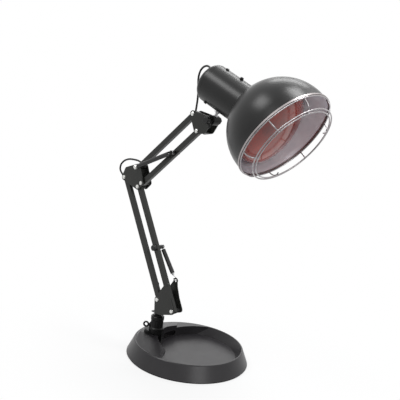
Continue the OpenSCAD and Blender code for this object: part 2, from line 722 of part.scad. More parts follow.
hook_ring_r = 3.2;
lower_spring_l = norm(lower_anchor - eye);
upper_spring_l = norm(upper_anchor - pin_f);
sleeve_clear = rivet_r + 3;

module lower_spring() color([0.75, 0.75, 0.76]) at_arm()
  spring(eye, lower_anchor, lower_spring_y, hook_ring_r, false);
module lower_spring_sleeve() color([0.08, 0.08, 0.08]) at_arm()
  sleeve(eye, lower_anchor, lower_spring_y, 4 * hook_ring_r, lower_spring_l - sleeve_clear);

module upper_spring() color([0.75, 0.75, 0.76]) at_arm()
  spring(pin_f, upper_anchor, upper_spring_y, hook_ring_r, true);
module upper_spring_sleeve() color([0.08, 0.08, 0.08]) at_arm()
  sleeve(pin_f, upper_anchor, upper_spring_y, sleeve_clear, upper_spring_l - sleeve_clear);

// Bolt through the front bar: knob on the near side, spring seat on the far side
module lower_spring_bolt() color([0.06, 0.06, 0.06]) at_arm() {
  seat_y = lower_spring_y - wire_r - seat;
  end_y = lower_spring_y + wire_r + seat;
  turned(lower_anchor, [
    [0, bar_near - 6], [3.4, bar_near - 6], [4.6, bar_near - 5], [4.6, bar_near - 1.2],
    [3.6, bar_near], [rivet_r, bar_near], [rivet_r, bar_far], [3.2, bar_far], [3.2, seat_y],
    [rivet_r, seat_y], [rivet_r, end_y], [3.2, end_y], [3.2, end_y + 1.4], [0, end_y + 1.4]
  ]);
}

// Bolt through the support bar, with the spring's seat on the near side
module upper_spring_bolt() color([0.06, 0.06, 0.06]) at_arm() {
  seat_y = upper_spring_y + wire_r + seat;
  end_y = upper_spring_y - wire_r - seat;
  turned(upper_anchor, [
    [0, end_y - 1.6], [2.4, end_y - 1.6], [3.4, end_y - 0.8], [3.4, end_y], [rivet_r, end_y],
    [rivet_r, seat_y], [3.2, seat_y], [3.2, bar_near], [rivet_r, bar_near], [rivet_r, bar_far],
    [3.4, bar_far], [3.4, bar_far + 2.4], [0, bar_far + 2.4]
  ]);
}

// ---------------------------------------------------------------- elbow
module elbow_bracket() color([0.13, 0.13, 0.12]) at_arm() {
  corner = [pin_b.x + 5, pin_b.y + 12.5];
  web_l = 11;
  web_sink = 0.3;                         // the web's top lies this far under the cheeks' edge
  web_angle = atan2(pin_f.y - corner.y, pin_f.x - corner.x);
  difference() {
    union() {
      for (side = [0, 1]) slab(side ? cheek_in : -cheek_out, side ? cheek_out : -cheek_in)
        rounded_outline([pin_b, pin_d, pin_e, pin_f, corner], lobe_r);
      // web along the upper edge
      translate([corner.x, 0, corner.y]) rotate([0, -web_angle, 0])
        translate([0, -cheek_out, lobe_r - sheet_t - web_sink]) cube([web_l, bracket_w, sheet_t]);
    }
    cheek_holes([pin_b, pin_d, pin_e, pin_f], rivet_r + seat / 2);
  }
}

module elbow_rivets() color("silver") at_arm() {
  for (p = [pin_b, pin_d, pin_e]) turned(p, rivet_profile());
  // the upper pin reaches out on the near side to hold the spring
  seat_y = upper_spring_y + wire_r + seat;
  end_y = upper_spring_y - wire_r - seat;
  turned(pin_f, [
    [0, end_y - 1.6], [2.4, end_y - 1.6], [3.4, end_y - 0.8], [3.4, end_y], [rivet_r, end_y],
    [rivet_r, seat_y], [3.4, seat_y], [3.4, -cheek_out], [rivet_r, -cheek_out], [rivet_r, -cheek_in],
    [shoulder_r, -cheek_in], [shoulder_r, bar_near - side_gap], [rivet_r, bar_near - side_gap],
    [rivet_r, bar_far + side_gap], [shoulder_r, bar_far + side_gap], [shoulder_r, cheek_in],
    [rivet_r, cheek_in], [rivet_r, cheek_out], [rivet_head_r, cheek_out],
    [rivet_head_r - 0.3, cheek_out + 0.9], [rivet_head_r - 1.3, cheek_out + 1.5], [0, cheek_out + 1.5]
  ]);
}

// ---------------------------------------------------------------- head bracket and tilt joint
module head_bracket() color([0.13, 0.13, 0.12]) at_arm() {
  low = [pin_g.x + 13, pin_g.y + 3];
  difference() {
    union() {
      for (side = [0, 1]) slab(side ? cheek_in : -cheek_out, side ? cheek_out : -cheek_in)
        rounded_outline([pin_g, low, pin_t, pin_h], lobe_r);
      // web along the lower edge
      translate([low.x - 8, -cheek_out, pin_g.y - lobe_r + 1.6]) rotate([0, -atan2(3, 13), 0])
        cube([9, bracket_w, sheet_t]);
    }
    cheek_holes([pin_g, pin_h], rivet_r + seat / 2);
    cheek_holes([pin_t], bolt_r + seat / 2);
  }
}

module head_rivets() color("silver") at_arm() {
  turned(pin_g, rivet_profile());
  turned(pin_h, rivet_profile());
}

knob_in = -cheek_out - 1.2 - side_gap;
bolt_near = knob_in - knob_h + 1.5;
nut_t = 3;
module tilt_bolt() color([0.3, 0.3, 0.31]) at_arm() {
  crossbar(pin_t, bolt_near, cheek_out + nut_t + 1, bolt_r);
  translate([pin_t.x, -cheek_out - 1.2, pin_t.y]) rotate([-90, 0, 0]) difference() {
    cylinder(r = bolt_r + 2.6, h = 1.2);
    translate([0, 0, -1]) cylinder(r = bolt_r - 1, h = 4);
  }
}

module tilt_nut() color([0.3, 0.3, 0.31]) at_arm() difference() {
  crossbar_hex(pin_t, cheek_out, cheek_out + nut_t, bolt_r * 1.85);
  crossbar(pin_t, cheek_out - 1, cheek_out + nut_t + 1, bolt_r + seat / 2);
}
module crossbar_hex(p, y0, y1, r) {
  translate([p.x, y0, p.y]) rotate([-90, 0, 0]) cylinder(r = r, h = y1 - y0, $fn = 6);
}

// Knob with a short lever that ends in a ball
module tilt_knob() color([0.05, 0.05, 0.05]) at_arm() {
  lever_l = 10;
  lever_angle = -62;
  difference() {
    union() {
      turned(pin_t, [
        [0, knob_in - knob_h], [knob_r - 1, knob_in - knob_h], [knob_r, knob_in - knob_h + 1],
        [knob_r, knob_in - 1.5], [knob_r - 0.8, knob_in], [0, knob_in]
      ]);
      translate([pin_t.x, knob_in - knob_h / 2, pin_t.y]) rotate([0, 90 - lever_angle, 0]) {
        cylinder(r = 1.5, h = lever_l);
        translate([0, 0, lever_l]) sphere(2.3);
      }
    }
    crossbar(pin_t, bolt_near - 1, knob_in + 1, bolt_r + run_gap);
  }
}

module tilt_knuckle() color([0.5, 0.5, 0.51]) at_arm() {
  half = cheek_in - side_gap;
  difference() {
    translate([pin_t.x, 0, pin_t.y]) rotate([-90, 0, 0]) translate([0, 0, -half])
      rotate_extrude() polygon([
        [0, 0], [knuckle_r - 1, 0], [knuckle_r, 1], [knuckle_r, 2 * half - 1],
        [knuckle_r - 1, 2 * half], [0, 2 * half]
      ]);
    crossbar(pin_t, -cheek_out, cheek_out, bolt_r + run_gap);
    translate([pin_t.x, 0, pin_t.y]) rotate([0, housing_dip, 0])
      translate([0, 0, bolt_r + 1.6]) cylinder(r = stem_r + seat / 2, h = knuckle_r);
  }
}

stem_foot = bolt_r + 1.7;
module stem() color([0.85, 0.85, 0.86]) at_head() translate([axis_drop, 0, stem_s])
  rotate([0, -90, 0]) {
    thread_r = stem_r - 0.5;
    difference() {
      union() {
        translate([0, 0, stem_foot]) cylinder(r = stem_r, h = stem_h - stem_foot + 1);
        translate([0, 0, stem_h - 2.6]) cylinder(r = stem_r + 2.4, h = 4);
      }
      translate([0, 0, axis_drop]) rotate([0, 90, 0]) cylinder(r = housing_r + seat, h = 60, center = true);
    }
    translate([0, 0, stem_h - 2]) cylinder(r = thread_r, h = 2 + housing_wall + 4.4);
  }

module stem_nut() color([0.6, 0.6, 0.6]) at_head() translate([0, 0, stem_s]) rotate([0, 90, 0])
  difference() {
    translate([0, 0, bore_r - 3.4]) cylinder(r = stem_r + 2, h = 4, $fn = 6);
    translate([0, 0, 0]) cylinder(r = stem_r - 0.5 + seat / 2, h = housing_r);
    rotate([0, 90, 0]) difference() {
      cylinder(r = housing_r + 3, h = 40, center = true);
      cylinder(r = bore_r - seat, h = 60, center = true);
    }
  }

// ---------------------------------------------------------------- housing
module tube(r_out, r_in, s0, s1) {
  translate([0, 0, s0]) difference() {
    cylinder(r = r_out, h = s1 - s0);
    translate([0, 0, -1]) cylinder(r = r_in, h = s1 - s0 + 2);
  }
}

screw_s = 15;                             // place of the rear cap's screws
screw_angles = [180, 35, -35];
switch_out = 3.4;                         // how far the switch's knob stands out

module housing() color([0.09, 0.09, 0.09]) at_head() difference() {
  tube(housing_r, bore_r, cap_seam + seat, bowl_s);
  translate([0, 0, bowl_s]) sphere(bowl_r + seat, $fn = 128);
  translate([0, 0, stem_s]) rotate([0, 90, 0]) cylinder(r = stem_r - 0.4, h = housing_r + 1);
  translate([0, 0, switch_s]) rotate([0, -90, 0]) cylinder(r = switch_r + 0.4, h = housing_r + 1);
  for (a = screw_angles) rotate([0, 0, a]) translate([0, 0, screw_s]) rotate([0, 90, 0])
    cylinder(r = 1.3, h = housing_r + 1);
}

// Ring that clamps the bowl to the front of the housing: a sleeve in the tube, a throat through
// the bowl's hole and a flange inside the bowl
module neck_ring() color([0.6, 0.6, 0.6]) at_head() difference() {
  translate([0, 0, bowl_s - bowl_r - 8]) cylinder(r = bore_r - seat, h = 30);
  translate([0, 0, bowl_s - bowl_r - 9]) cylinder(r = neck_hole_r - 2, h = 40);
  difference() {
    translate([0, 0, bowl_s]) sphere(bowl_r + seat, $fn = 128);
    translate([0, 0, bowl_s]) sphere(bowl_in_r - seat, $fn = 128);
    cylinder(r = neck_hole_r - seat, h = bowl_s);
  }
  translate([0, 0, bowl_s]) sphere(bowl_in_r - seat - 1.6, $fn = 128);
}

module rear_cap() color([0.08, 0.08, 0.08]) at_head() difference() {
  cap_shape(0);
  cap_shape(cap_wall);
  translate([-gland_up, 0, -cap_back - 1]) cylinder(r = lead_r + 1.2, h = cap_wall + 2);
  translate([0, 0, -cap_back - 1]) cylinder(r = 4, h = cap_wall + 2);
  for (a = screw_angles) rotate([0, 0, a]) translate([0, 0, screw_s]) rotate([0, 90, 0])
    cylinder(r = 1.1, h = housing_r + 1);
}

// Rounded cap with a spigot; an inset shrinks it to the room inside its wall
module cap_shape(inset) {
  r = housing_r - inset;
  back = inset - cap_back;
  corner = cap_round - inset;
  shoulder = cap_seam - inset;
  rotate_extrude() {
    translate([0, back]) square([r - corner, corner + eps]);
    translate([0, back + corner]) square([r, shoulder - back - corner]);
    intersection() {
      translate([r - corner, back + corner]) circle(corner);
      translate([r - corner - eps, back]) square([corner + 1, corner + eps]);
    }
    translate([0, shoulder - eps]) square([bore_r - seat - inset, cap_spigot + 2 * inset + eps]);
  }
}

module cap_screws() color([0.1, 0.1, 0.1]) at_head()
  for (a = screw_angles) rotate([0, 0, a]) translate([0, 0, screw_s]) rotate([0, 90, 0]) {
    translate([0, 0, bore_r - 4]) cylinder(r = 1, h = housing_wall + 5);
    translate([0, 0, housing_r + 0.02]) cylinder(r = 2.4, h = 1.8);
  }

// Moulded gland where the lead leaves the rear cap
module lead_gland() color([0.05, 0.05, 0.05]) at_head() translate([-gland_up, 0, -cap_back])
  rotate_extrude() polygon([
    [lead_r + 0.3, cap_wall + 1.6], [lead_r + 2.2, cap_wall + 1.6], [lead_r + 2.2, cap_wall],
    [lead_r + 1.1, cap_wall], [lead_r + 1.1, 0], [lead_r + 2.4, 0], [lead_r + 1.2, -5],
    [lead_r + 0.3, -5]
  ]);

// Porcelain lampholder with a threaded socket and a wider mouth
module lampholder() color([0.9, 0.89, 0.85]) at_head() difference() {
  translate([0, 0, holder_s]) rotate_extrude() polygon([
    [0, 0], [holder_r - 4, 0], [holder_r - 2, 1.5], [holder_r, 12], [holder_r, holder_l - 1],
    [holder_r - 0.8, holder_l], [0, holder_l]
  ]);
  translate([0, 0, socket_s]) cylinder(r = bulb_cap_r + run_gap, h = socket_l + 1);
  translate([0, 0, socket_s + socket_l]) cylinder(r = bulb_neck_r + 0.7, h = holder_l);
  translate([0, 0, holder_s - 1]) cylinder(r = 3, h = 7);
}

// Threaded tube that holds the lampholder to the rear cap, with a nut outside
module holder_nipple() color([0.7, 0.65, 0.4]) at_head() difference() {
  union() {
    translate([0, 0, -cap_back - 3]) cylinder(r = 3.9, h = holder_s + cap_back + 3 - seat);
    translate([0, 0, -cap_back - 2.2]) cylinder(r = 6.6, h = 2.2, $fn = 6);
    translate([0, 0, cap_wall - cap_back]) cylinder(r = 6.6, h = 2.2, $fn = 6);
  }
  translate([0, 0, -cap_back - 4]) cylinder(r = 2.6, h = holder_s + cap_back + 5);
}

// ---------------------------------------------------------------- bulb
cap_l = 25;                               // length of the bulb's screw cap
module bulb_cap() color([0.8, 0.7, 0.45]) at_head() translate([0, 0, socket_s + 0.4])
  rotate_extrude() polygon([
    [0, 0], [4, 0], [4.6, 0.8], [bulb_cap_r - 2.4, 3], [bulb_cap_r, 5.4], [bulb_cap_r, cap_l], [0, cap_l]
  ]);

// Reflector bulb: neck, a bowl that opens like a parabola, and a domed face
bulb_neck_s = socket_s + 0.4 + cap_l;
flare_s = bowl_s - bowl_r + 10;
dome_s = bulb_front - 17;
flare_steps = 14;
dome_steps = 12;
function bulb_outline(t) = concat(
  [[bulb_cap_r - 1.4 - t, bulb_neck_s + seat], [bulb_cap_r + 0.6 - t, bulb_neck_s + 1.5],
   [bulb_neck_r - t, bulb_neck_s + 7]],
  [for (i = [0 : flare_steps]) let (u = i / flare_steps)
    [bulb_neck_r + (bulb_r - bulb_neck_r) * sin(90 * u) - t, flare_s + (dome_s - flare_s) * u]],
  [for (i = [1 : dome_steps]) let (a = 90 * i / dome_steps)
    [max(0, (bulb_r - t) * cos(a)), dome_s + (bulb_front - dome_s - t) * sin(a)]]
);
module bulb_glass() color([0.5, 0.06, 0.03, 0.8]) at_head() difference() {
  rotate_extrude($fn = 96) polygon(concat([[0, bulb_neck_s + seat]], bulb_outline(0)));
  rotate_extrude($fn = 96) polygon(concat([[0, bulb_neck_s - 1]], [[bulb_cap_r - 2.6, bulb_neck_s - 1]],
    bulb_outline(1.2)));
}

// ---------------------------------------------------------------- switch
module switch_body() color([0.1, 0.1, 0.1]) at_head() translate([0, 0, switch_s])
  rotate([0, -90, 0]) difference() {
    translate([0, 0, holder_r + 0.4]) cylinder(r = 5.5, h = 8);
    translate([0, 0, bore_r - 3]) cylinder(r = switch_r - 1 + run_gap, h = 8);
    rotate([0, 90, 0]) difference() {
      cylinder(r = housing_r + 3, h = 40, center = true);
      cylinder(r = bore_r - seat, h = 60, center = true);
    }
  }

module switch_knob() color([0.04, 0.04, 0.04]) at_head() translate([0, 0, switch_s])
  rotate([0, -90, 0]) {
    translate([0, 0, bore_r - 2.8]) cylinder(r = switch_r - 1, h = 2.8 + housing_wall + 0.4);
    translate([0, 0, housing_r + 0.3]) rotate_extrude() polygon([
      [0, 0], [switch_r, 0], [switch_r, switch_out - 1.3], [switch_r - 0.7, switch_out - 0.5],
      [0, switch_out - 0.3]
    ]);
  }

// ---------------------------------------------------------------- shade and guard
module shade() color([0.1, 0.1, 0.1]) difference() {
  at_shade() rotate_extrude($fn = 128) {
    intersection() {
      difference() { circle(bowl_r, $fn = 256); circle(bowl_in_r, $fn = 256); }
      translate([0, -bowl_r]) square([bowl_r, bowl_r]);
    }
    polygon([[bowl_in_r, 0], [bowl_r, 0], [mouth_r, mouth_z], [mouth_r - shade_wall, mouth_z]]);
  }
  at_head() translate([0, 0, bowl_s - bowl_r - 5]) cylinder(r = neck_hole_r, h = 30);
}

// Bright trim folded over the mouth's edge
module trim_ring() color([0.85, 0.83, 0.82]) at_shade() rotate_extrude($fn = 128) polygon([
  [mouth_r + seat, mouth_z - 1.8], [mouth_r + seat + trim_t, mouth_z - 1.8],
  [mouth_r + seat + trim_t, mouth_z + trim_t], [mouth_r - shade_wall - 1.5 * seat - trim_t, mouth_z + trim_t],
  [mouth_r - shade_wall - 1.5 * seat - trim_t, mouth_z - 1.8], [mouth_r - shade_wall - 1.5 * seat, mouth_z - 1.8],
  [mouth_r - shade_wall - 1.5 * seat, mouth_z], [mouth_r + seat, mouth_z]
]);

// Wire guard: ribs rise from the mouth and bend inwards, welded inside a ring at the mouth and
// a middle ring, and under a ring in front
weld = 2 * guard_wire_r + 0.05;
guard_base_r = mouth_r - shade_wall / 2;
rib_r = guard_base_r - weld;
rib_tip_r = guard_front_r - 1.5;
rib_top = guard_z + guard_h - weld;
rib_bend = min(rib_r - rib_tip_r, rib_top - guard_z);
bend_r = rib_r - rib_bend;
bend_z = rib_top - rib_bend;

module guard_rings() color([0.8, 0.8, 0.82]) at_shade() {
  reach = rib_bend + weld;
  mid_z = bend_z + sqrt(pow(reach, 2) - pow(min(guard_mid_r - bend_r, reach * 0.9), 2));
  translate([0, 0, guard_z]) wire_ring(guard_base_r, guard_wire_r);
  translate([0, 0, mid_z]) wire_ring(bend_r + min(guard_mid_r - bend_r, reach * 0.9), guard_wire_r);
  translate([0, 0, rib_top + weld]) wire_ring(guard_front_r, guard_wire_r);
}

module guard_ribs() color([0.8, 0.8, 0.82]) at_shade()
  for (i = [0 : rib_count - 1]) rotate([0, 0, (i + 0.5) * 360 / rib_count]) {
    translate([rib_r, 0, guard_z - guard_wire_r]) cylinder(r = guard_wire_r, h = bend_z - guard_z + guard_wire_r);
    translate([bend_r, 0, bend_z]) rotate([90, 0, 0]) wire_ring(rib_bend, guard_wire_r, 90);
    translate([rib_tip_r, 0, rib_top]) rotate([0, 90, 0]) cylinder(r = guard_wire_r, h = bend_r - rib_tip_r + eps);
  }

// ---------------------------------------------------------------- lead
module lead(route) { at_arm() swept_tube(smooth_route(route, lead_steps), lead_r); }
module lead_head_loop() color([0.06, 0.06, 0.06]) lead(head_loop);
module lead_upper_run() color([0.06, 0.06, 0.06]) lead(upper_run);
module lead_elbow_loop() color([0.06, 0.06, 0.06]) lead(elbow_loop);
module lead_lower_run() color([0.06, 0.06, 0.06]) lead(lower_run);

base_shell();
base_pad();
ballast();
ballast_screws();
clamp_frame();
clamp_screw();
clamp_pad();
lock_screw();
swivel_pin();
lower_bracket();
lower_rivets();
rear_bar();
front_bar();
outlet_grommet();
lower_spring_bolt();
lower_spring();
lower_spring_sleeve();
elbow_bracket();
elbow_rivets();
support_bar();
tie_bar();
upper_spring_bolt();
upper_spring();
upper_spring_sleeve();
head_bracket();
head_rivets();
tilt_bolt();
tilt_nut();
tilt_knob();
tilt_knuckle();
stem();
stem_nut();
housing();
neck_ring();
rear_cap();
cap_screws();
lead_gland();
lampholder();
holder_nipple();
bulb_cap();
bulb_glass();
switch_body();
switch_knob();
shade();
trim_ring();
guard_rings();
guard_ribs();
lead_head_loop();
lead_upper_run();
lead_elbow_loop();
lead_lower_run();
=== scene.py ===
"""Infrared heat therapy lamp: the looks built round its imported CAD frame.

The dished base, clamp, sprung arms and tilting head keep their CAD solids where those are the
final shape. The shade, wire guard, bulb, springs, leads and the small turned and threaded
hardware are modelled here. All lengths are metres in the part's own frame.
"""

import json
import logging
import math
from dataclasses import dataclass, field
from enum import Enum
from typing import Dict, List, Optional, Sequence, Tuple

import bpy
from mathutils import Matrix, Vector

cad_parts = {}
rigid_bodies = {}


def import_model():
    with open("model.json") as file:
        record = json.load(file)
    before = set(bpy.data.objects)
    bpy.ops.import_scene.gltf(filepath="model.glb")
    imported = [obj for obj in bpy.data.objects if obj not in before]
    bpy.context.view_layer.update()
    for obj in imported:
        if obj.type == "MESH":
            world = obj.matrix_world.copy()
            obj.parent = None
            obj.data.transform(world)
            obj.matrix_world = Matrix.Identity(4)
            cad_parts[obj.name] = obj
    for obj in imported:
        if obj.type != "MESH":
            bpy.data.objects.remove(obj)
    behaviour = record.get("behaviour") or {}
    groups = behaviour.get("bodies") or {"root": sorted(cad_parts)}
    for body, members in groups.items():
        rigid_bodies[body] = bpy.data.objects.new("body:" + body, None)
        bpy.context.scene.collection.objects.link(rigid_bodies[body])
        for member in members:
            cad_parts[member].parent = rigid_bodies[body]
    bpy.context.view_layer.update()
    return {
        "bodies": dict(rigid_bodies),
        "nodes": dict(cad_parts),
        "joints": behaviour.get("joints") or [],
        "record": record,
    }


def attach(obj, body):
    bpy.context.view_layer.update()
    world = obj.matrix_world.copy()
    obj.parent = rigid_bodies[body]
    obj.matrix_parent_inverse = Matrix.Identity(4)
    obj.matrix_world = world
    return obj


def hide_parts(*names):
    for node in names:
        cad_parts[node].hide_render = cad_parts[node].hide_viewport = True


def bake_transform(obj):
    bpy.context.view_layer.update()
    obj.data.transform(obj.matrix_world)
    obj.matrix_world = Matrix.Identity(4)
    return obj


LOG = logging.getLogger("heat_lamp")
MM = 0.001
Point = Tuple[float, float, float]
Pair = Tuple[float, float]
Colour = Tuple[float, float, float]

# Places of the pivots in the arm's own plane, (x, z) in mm, and where that plane stands
ARM_X, ARM_Y = -44.768, -30.196
PIN_A: Pair = (2.5, 88.5)
PIN_C: Pair = (35.0, 79.5)
PIN_B: Pair = (-100.84, 263.23)
PIN_D: Pair = (-68.34, 254.23)
PIN_E: Pair = (-61.54, 261.33)
PIN_F: Pair = (-73.03, 284.93)
PIN_G: Pair = (39.89, 359.28)
PIN_H: Pair = (28.39, 382.88)
PIN_T: Pair = (61.59, 377.98)
EYE: Pair = (20.2, 122.5)
LOWER_ANCHOR: Pair = (-16.92, 167.3)
UPPER_ANCHOR: Pair = (-0.39, 320.38)
LOWER_SPRING_Y, UPPER_SPRING_Y = 8.75, -13.6
HEAD_DIP = 21.4
SHADE_NOD = 13.0
HEAD_ORIGIN: Point = (5.687, -30.196, 430.137)
BOWL_S = 139.0
BASE_TURN = 34.0
CLAMP_SCREW_X = -60.0

# Metres: the smallest ring that can be drawn, and how near two points are before they merge
POINT_RADIUS = 1e-5
MERGE_OPEN, MERGE_CLOSED, MERGE_WIRE = 2.5e-5, 1e-5, 1e-6


class Body(Enum):
    """CAD bodies that the new pieces ride on."""

    LOWER_BRACKET = "lower_bracket"
    FRONT_BAR = "front_bar"
    REAR_BAR = "rear_bar"
    ELBOW = "elbow_bracket"
    SUPPORT_BAR = "support_bar"
    TIE_BAR = "tie_bar"
    HEAD_BRACKET = "head_bracket"
    HEAD = "head"
    BULB = "bulb"
    TILT_KNOB = "tilt_knob"
    CLAMP_SCREW = "clamp_screw"


class Grain(Enum):
    """How a finish's fine surface is drawn."""

    SMOOTH = 0.0
    ORANGE_PEEL = 1.0
    MOULDED = 2.0
    CAST = 3.0


# ------------------------------------------------------------------ finishes
@dataclass(frozen=True)
class Finish:
    """One finish: a principled surface whose colour, gloss and relief vary a little."""

    name: str
    colour: Colour
    worn: Colour
    metallic: float = 0.0
    roughness: float = 0.4
    spread: float = 0.06
    scale: float = 60.0
    relief: float = 0.0
    grain: Grain = Grain.SMOOTH
    coat: float = 0.0
    transmission: float = 0.0
    specular: float = 0.5
    ior: float = 1.5
    coat_roughness: float = 0.12
    least_roughness: float = 0.02
    bump_depth: float = 0.0002

    def build(self) -> bpy.types.Material:
        """Makes the material.

        Returns:
            The new material.
        """
        material = bpy.data.materials.new(self.name)
        material.use_nodes = True
        nodes, links = material.node_tree.nodes, material.node_tree.links
        shader = nodes["Principled BSDF"]
        shader.inputs["Metallic"].default_value = self.metallic
        shader.inputs["Coat Weight"].default_value = self.coat
        shader.inputs["Coat Roughness"].default_value = self.coat_roughness
        shader.inputs["Transmission Weight"].default_value = self.transmission
        shader.inputs["Specular IOR Level"].default_value = self.specular
        shader.inputs["IOR"].default_value = self.ior
        place = nodes.new("ShaderNodeTexCoord")
        noise = nodes.new("ShaderNodeTexNoise")
        noise.inputs["Scale"].default_value = self.scale
        noise.inputs["Detail"].default_value = 4.0
        links.new(place.outputs["Object"], noise.inputs["Vector"])
        ramp = nodes.new("ShaderNodeValToRGB")
        ramp.color_ramp.elements[0].position = 0.3
        ramp.color_ramp.elements[1].position = 0.7
        ramp.color_ramp.elements[0].color = (*self.colour, 1.0)
        ramp.color_ramp.elements[1].color = (*self.worn, 1.0)
        links.new(noise.outputs["Fac"], ramp.inputs["Fac"])
        links.new(ramp.outputs["Color"], shader.inputs["Base Color"])
        gloss = nodes.new("ShaderNodeMapRange")
        low = max(self.least_roughness, self.roughness - self.spread)
        gloss.inputs["To Min"].default_value = low
        gloss.inputs["To Max"].default_value = self.roughness + self.spread
        links.new(noise.outputs["Fac"], gloss.inputs["Value"])
        links.new(gloss.outputs["Result"], shader.inputs["Roughness"])
        if self.relief > 0.0:
            self._add_relief(material, place, shader)
        return material

    def _add_relief(
        self, material: bpy.types.Material, place: bpy.types.Node, shader: bpy.types.Node
    ) -> None:
        """Adds the fine bump of the finish's grain.

        Args:
            material: the material being made.
            place: its texture coordinates.
            shader: its principled shader.
        """
        nodes, links = material.node_tree.nodes, material.node_tree.links
        scales = {
            Grain.SMOOTH: 200.0,
            Grain.ORANGE_PEEL: 900.0,
            Grain.MOULDED: 2500.0,
            Grain.CAST: 500.0,
        }
        fine = nodes.new("ShaderNodeTexNoise")
        fine.inputs["Scale"].default_value = scales[self.grain]
        links.new(place.outputs["Object"], fine.inputs["Vector"])
        bump = nodes.new("ShaderNodeBump")
        bump.inputs["Strength"].default_value = self.relief
        bump.inputs["Distance"].default_value = self.bump_depth
        links.new(fine.outputs["Fac"], bump.inputs["Height"])
        links.new(bump.outputs["Normal"], shader.inputs["Normal"])


@dataclass(frozen=True)
class FinishSet:
    """Every finish of the lamp, under the record's slot names."""

    finishes: Tuple[Finish, ...] = (
        Finish("base_paint", (0.012, 0.0108, 0.0125), (0.016, 0.0147, 0.0167), roughness=0.36,
               relief=0.12, grain=Grain.ORANGE_PEEL, specular=0.4),
        Finish("foam_pad", (0.010, 0.010, 0.010), (0.016, 0.016, 0.016), roughness=0.9,
               relief=0.6, grain=Grain.MOULDED, specular=0.2),
        Finish("iron", (0.10, 0.10, 0.105), (0.15, 0.14, 0.14), metallic=0.7, roughness=0.6,
               relief=0.6, grain=Grain.CAST),
        Finish("zinc", (0.50, 0.50, 0.51), (0.60, 0.60, 0.61), metallic=1.0, roughness=0.3),
        Finish("satin_black", (0.003, 0.003, 0.003), (0.005, 0.005, 0.005), roughness=0.34,
               specular=0.2),
        Finish("arm_paint", (0.010, 0.0105, 0.009), (0.015, 0.0155, 0.013), roughness=0.36,
               relief=0.06, grain=Grain.ORANGE_PEEL, specular=0.38),
        Finish("rivet_steel", (0.62, 0.62, 0.60), (0.72, 0.72, 0.70), metallic=1.0,
               roughness=0.26),
        Finish("soft_black", (0.008, 0.008, 0.008), (0.012, 0.012, 0.012), roughness=0.6,
               relief=0.3, grain=Grain.MOULDED, specular=0.3),
        Finish("black_plastic", (0.007, 0.007, 0.007), (0.011, 0.011, 0.011), roughness=0.42,
               relief=0.25, grain=Grain.MOULDED, specular=0.35),
        Finish("spring_steel", (0.55, 0.55, 0.56), (0.66, 0.66, 0.67), metallic=1.0,
               roughness=0.2),
        Finish("sleeve_plastic", (0.012, 0.012, 0.012), (0.018, 0.018, 0.018), roughness=0.38,
               specular=0.4),
        Finish("chrome", (0.72, 0.72, 0.73), (0.80, 0.80, 0.81), metallic=1.0, roughness=0.1,
               spread=0.03),
        Finish("head_paint", (0.008, 0.008, 0.008), (0.011, 0.011, 0.011), roughness=0.32,
               spread=0.02, relief=0.02, grain=Grain.ORANGE_PEEL, specular=0.3),
        Finish("ring_aluminium", (0.6, 0.6, 0.61), (0.7, 0.7, 0.71), metallic=1.0,
               roughness=0.3),
        Finish("porcelain", (0.80, 0.78, 0.73), (0.84, 0.82, 0.78), roughness=0.15, coat=0.5),
        Finish("brass", (0.66, 0.50, 0.22), (0.74, 0.58, 0.30), metallic=1.0, roughness=0.25),
        Finish("cap_aluminium", (0.66, 0.65, 0.62), (0.74, 0.73, 0.70), metallic=1.0,
               roughness=0.3),
        Finish("red_glass", (0.10, 0.006, 0.004), (0.26, 0.022, 0.009), roughness=0.13,
               spread=0.03, scale=30.0, ior=1.7),
        Finish("bright_trim", (0.34, 0.31, 0.31), (0.40, 0.37, 0.37), metallic=1.0,
               roughness=0.36, spread=0.03),
        Finish("guard_wire", (0.40, 0.38, 0.39), (0.48, 0.46, 0.47), metallic=1.0,
               roughness=0.32, spread=0.04),
        Finish("lead_rubber", (0.006, 0.006, 0.006), (0.010, 0.010, 0.010), roughness=0.5,
               specular=0.35),
        Finish("reflector", (0.82, 0.79, 0.84), (0.88, 0.86, 0.90), metallic=0.4,
               roughness=0.30, spread=0.04),
    )

    def build(self) -> Dict[str, bpy.types.Material]:
        """Makes every material and returns them by name."""
        return {finish.name: finish.build() for finish in self.finishes}


# ------------------------------------------------------------------ tools for the meshes
def arm_point(x: float, y: float, z: float) -> Vector:
    """Turns a point of the arm's plane, in mm, into the part's frame in metres."""
    return Vector(((x + ARM_X) * MM, (y + ARM_Y) * MM, z * MM))


def head_matrix() -> Matrix:
    """Returns the head's frame: z along the housing and x down through it."""
    turn = Matrix.Rotation(math.radians(90.0 + HEAD_DIP), 4, "Y")
    return Matrix.Translation(Vector(HEAD_ORIGIN) * MM) @ turn


def shade_matrix() -> Matrix:
    """Returns the bowl's frame: its centre, with z out through the mouth."""
    nod = Matrix.Rotation(math.radians(SHADE_NOD), 4, "Y")
    return head_matrix() @ Matrix.Translation((0.0, 0.0, BOWL_S * MM)) @ nod


def line_matrix(pull: Pair, anchor: Pair, y: float) -> Matrix:
    """Frame with its origin at one pivot and z towards another.

    Args:
        pull: the pivot at the origin, (x, z) in the arm's plane in mm.
        anchor: the pivot that z points at.
        y: the line's place across the lamp.

    Returns:
        The frame in metres.
    """
    angle = math.atan2(anchor[1] - pull[1], anchor[0] - pull[0])
    turn = Matrix.Rotation(math.pi / 2 - angle, 4, "Y")
    return Matrix.Translation(arm_point(pull[0], y, pull[1])) @ turn


def select_only(parts: Sequence[bpy.types.Object]) -> None:
    """Selects just these objects and makes the first one active."""
    clear_selection()
    for part in parts:
        part.select_set(True)
    bpy.context.view_layer.objects.active = parts[0]


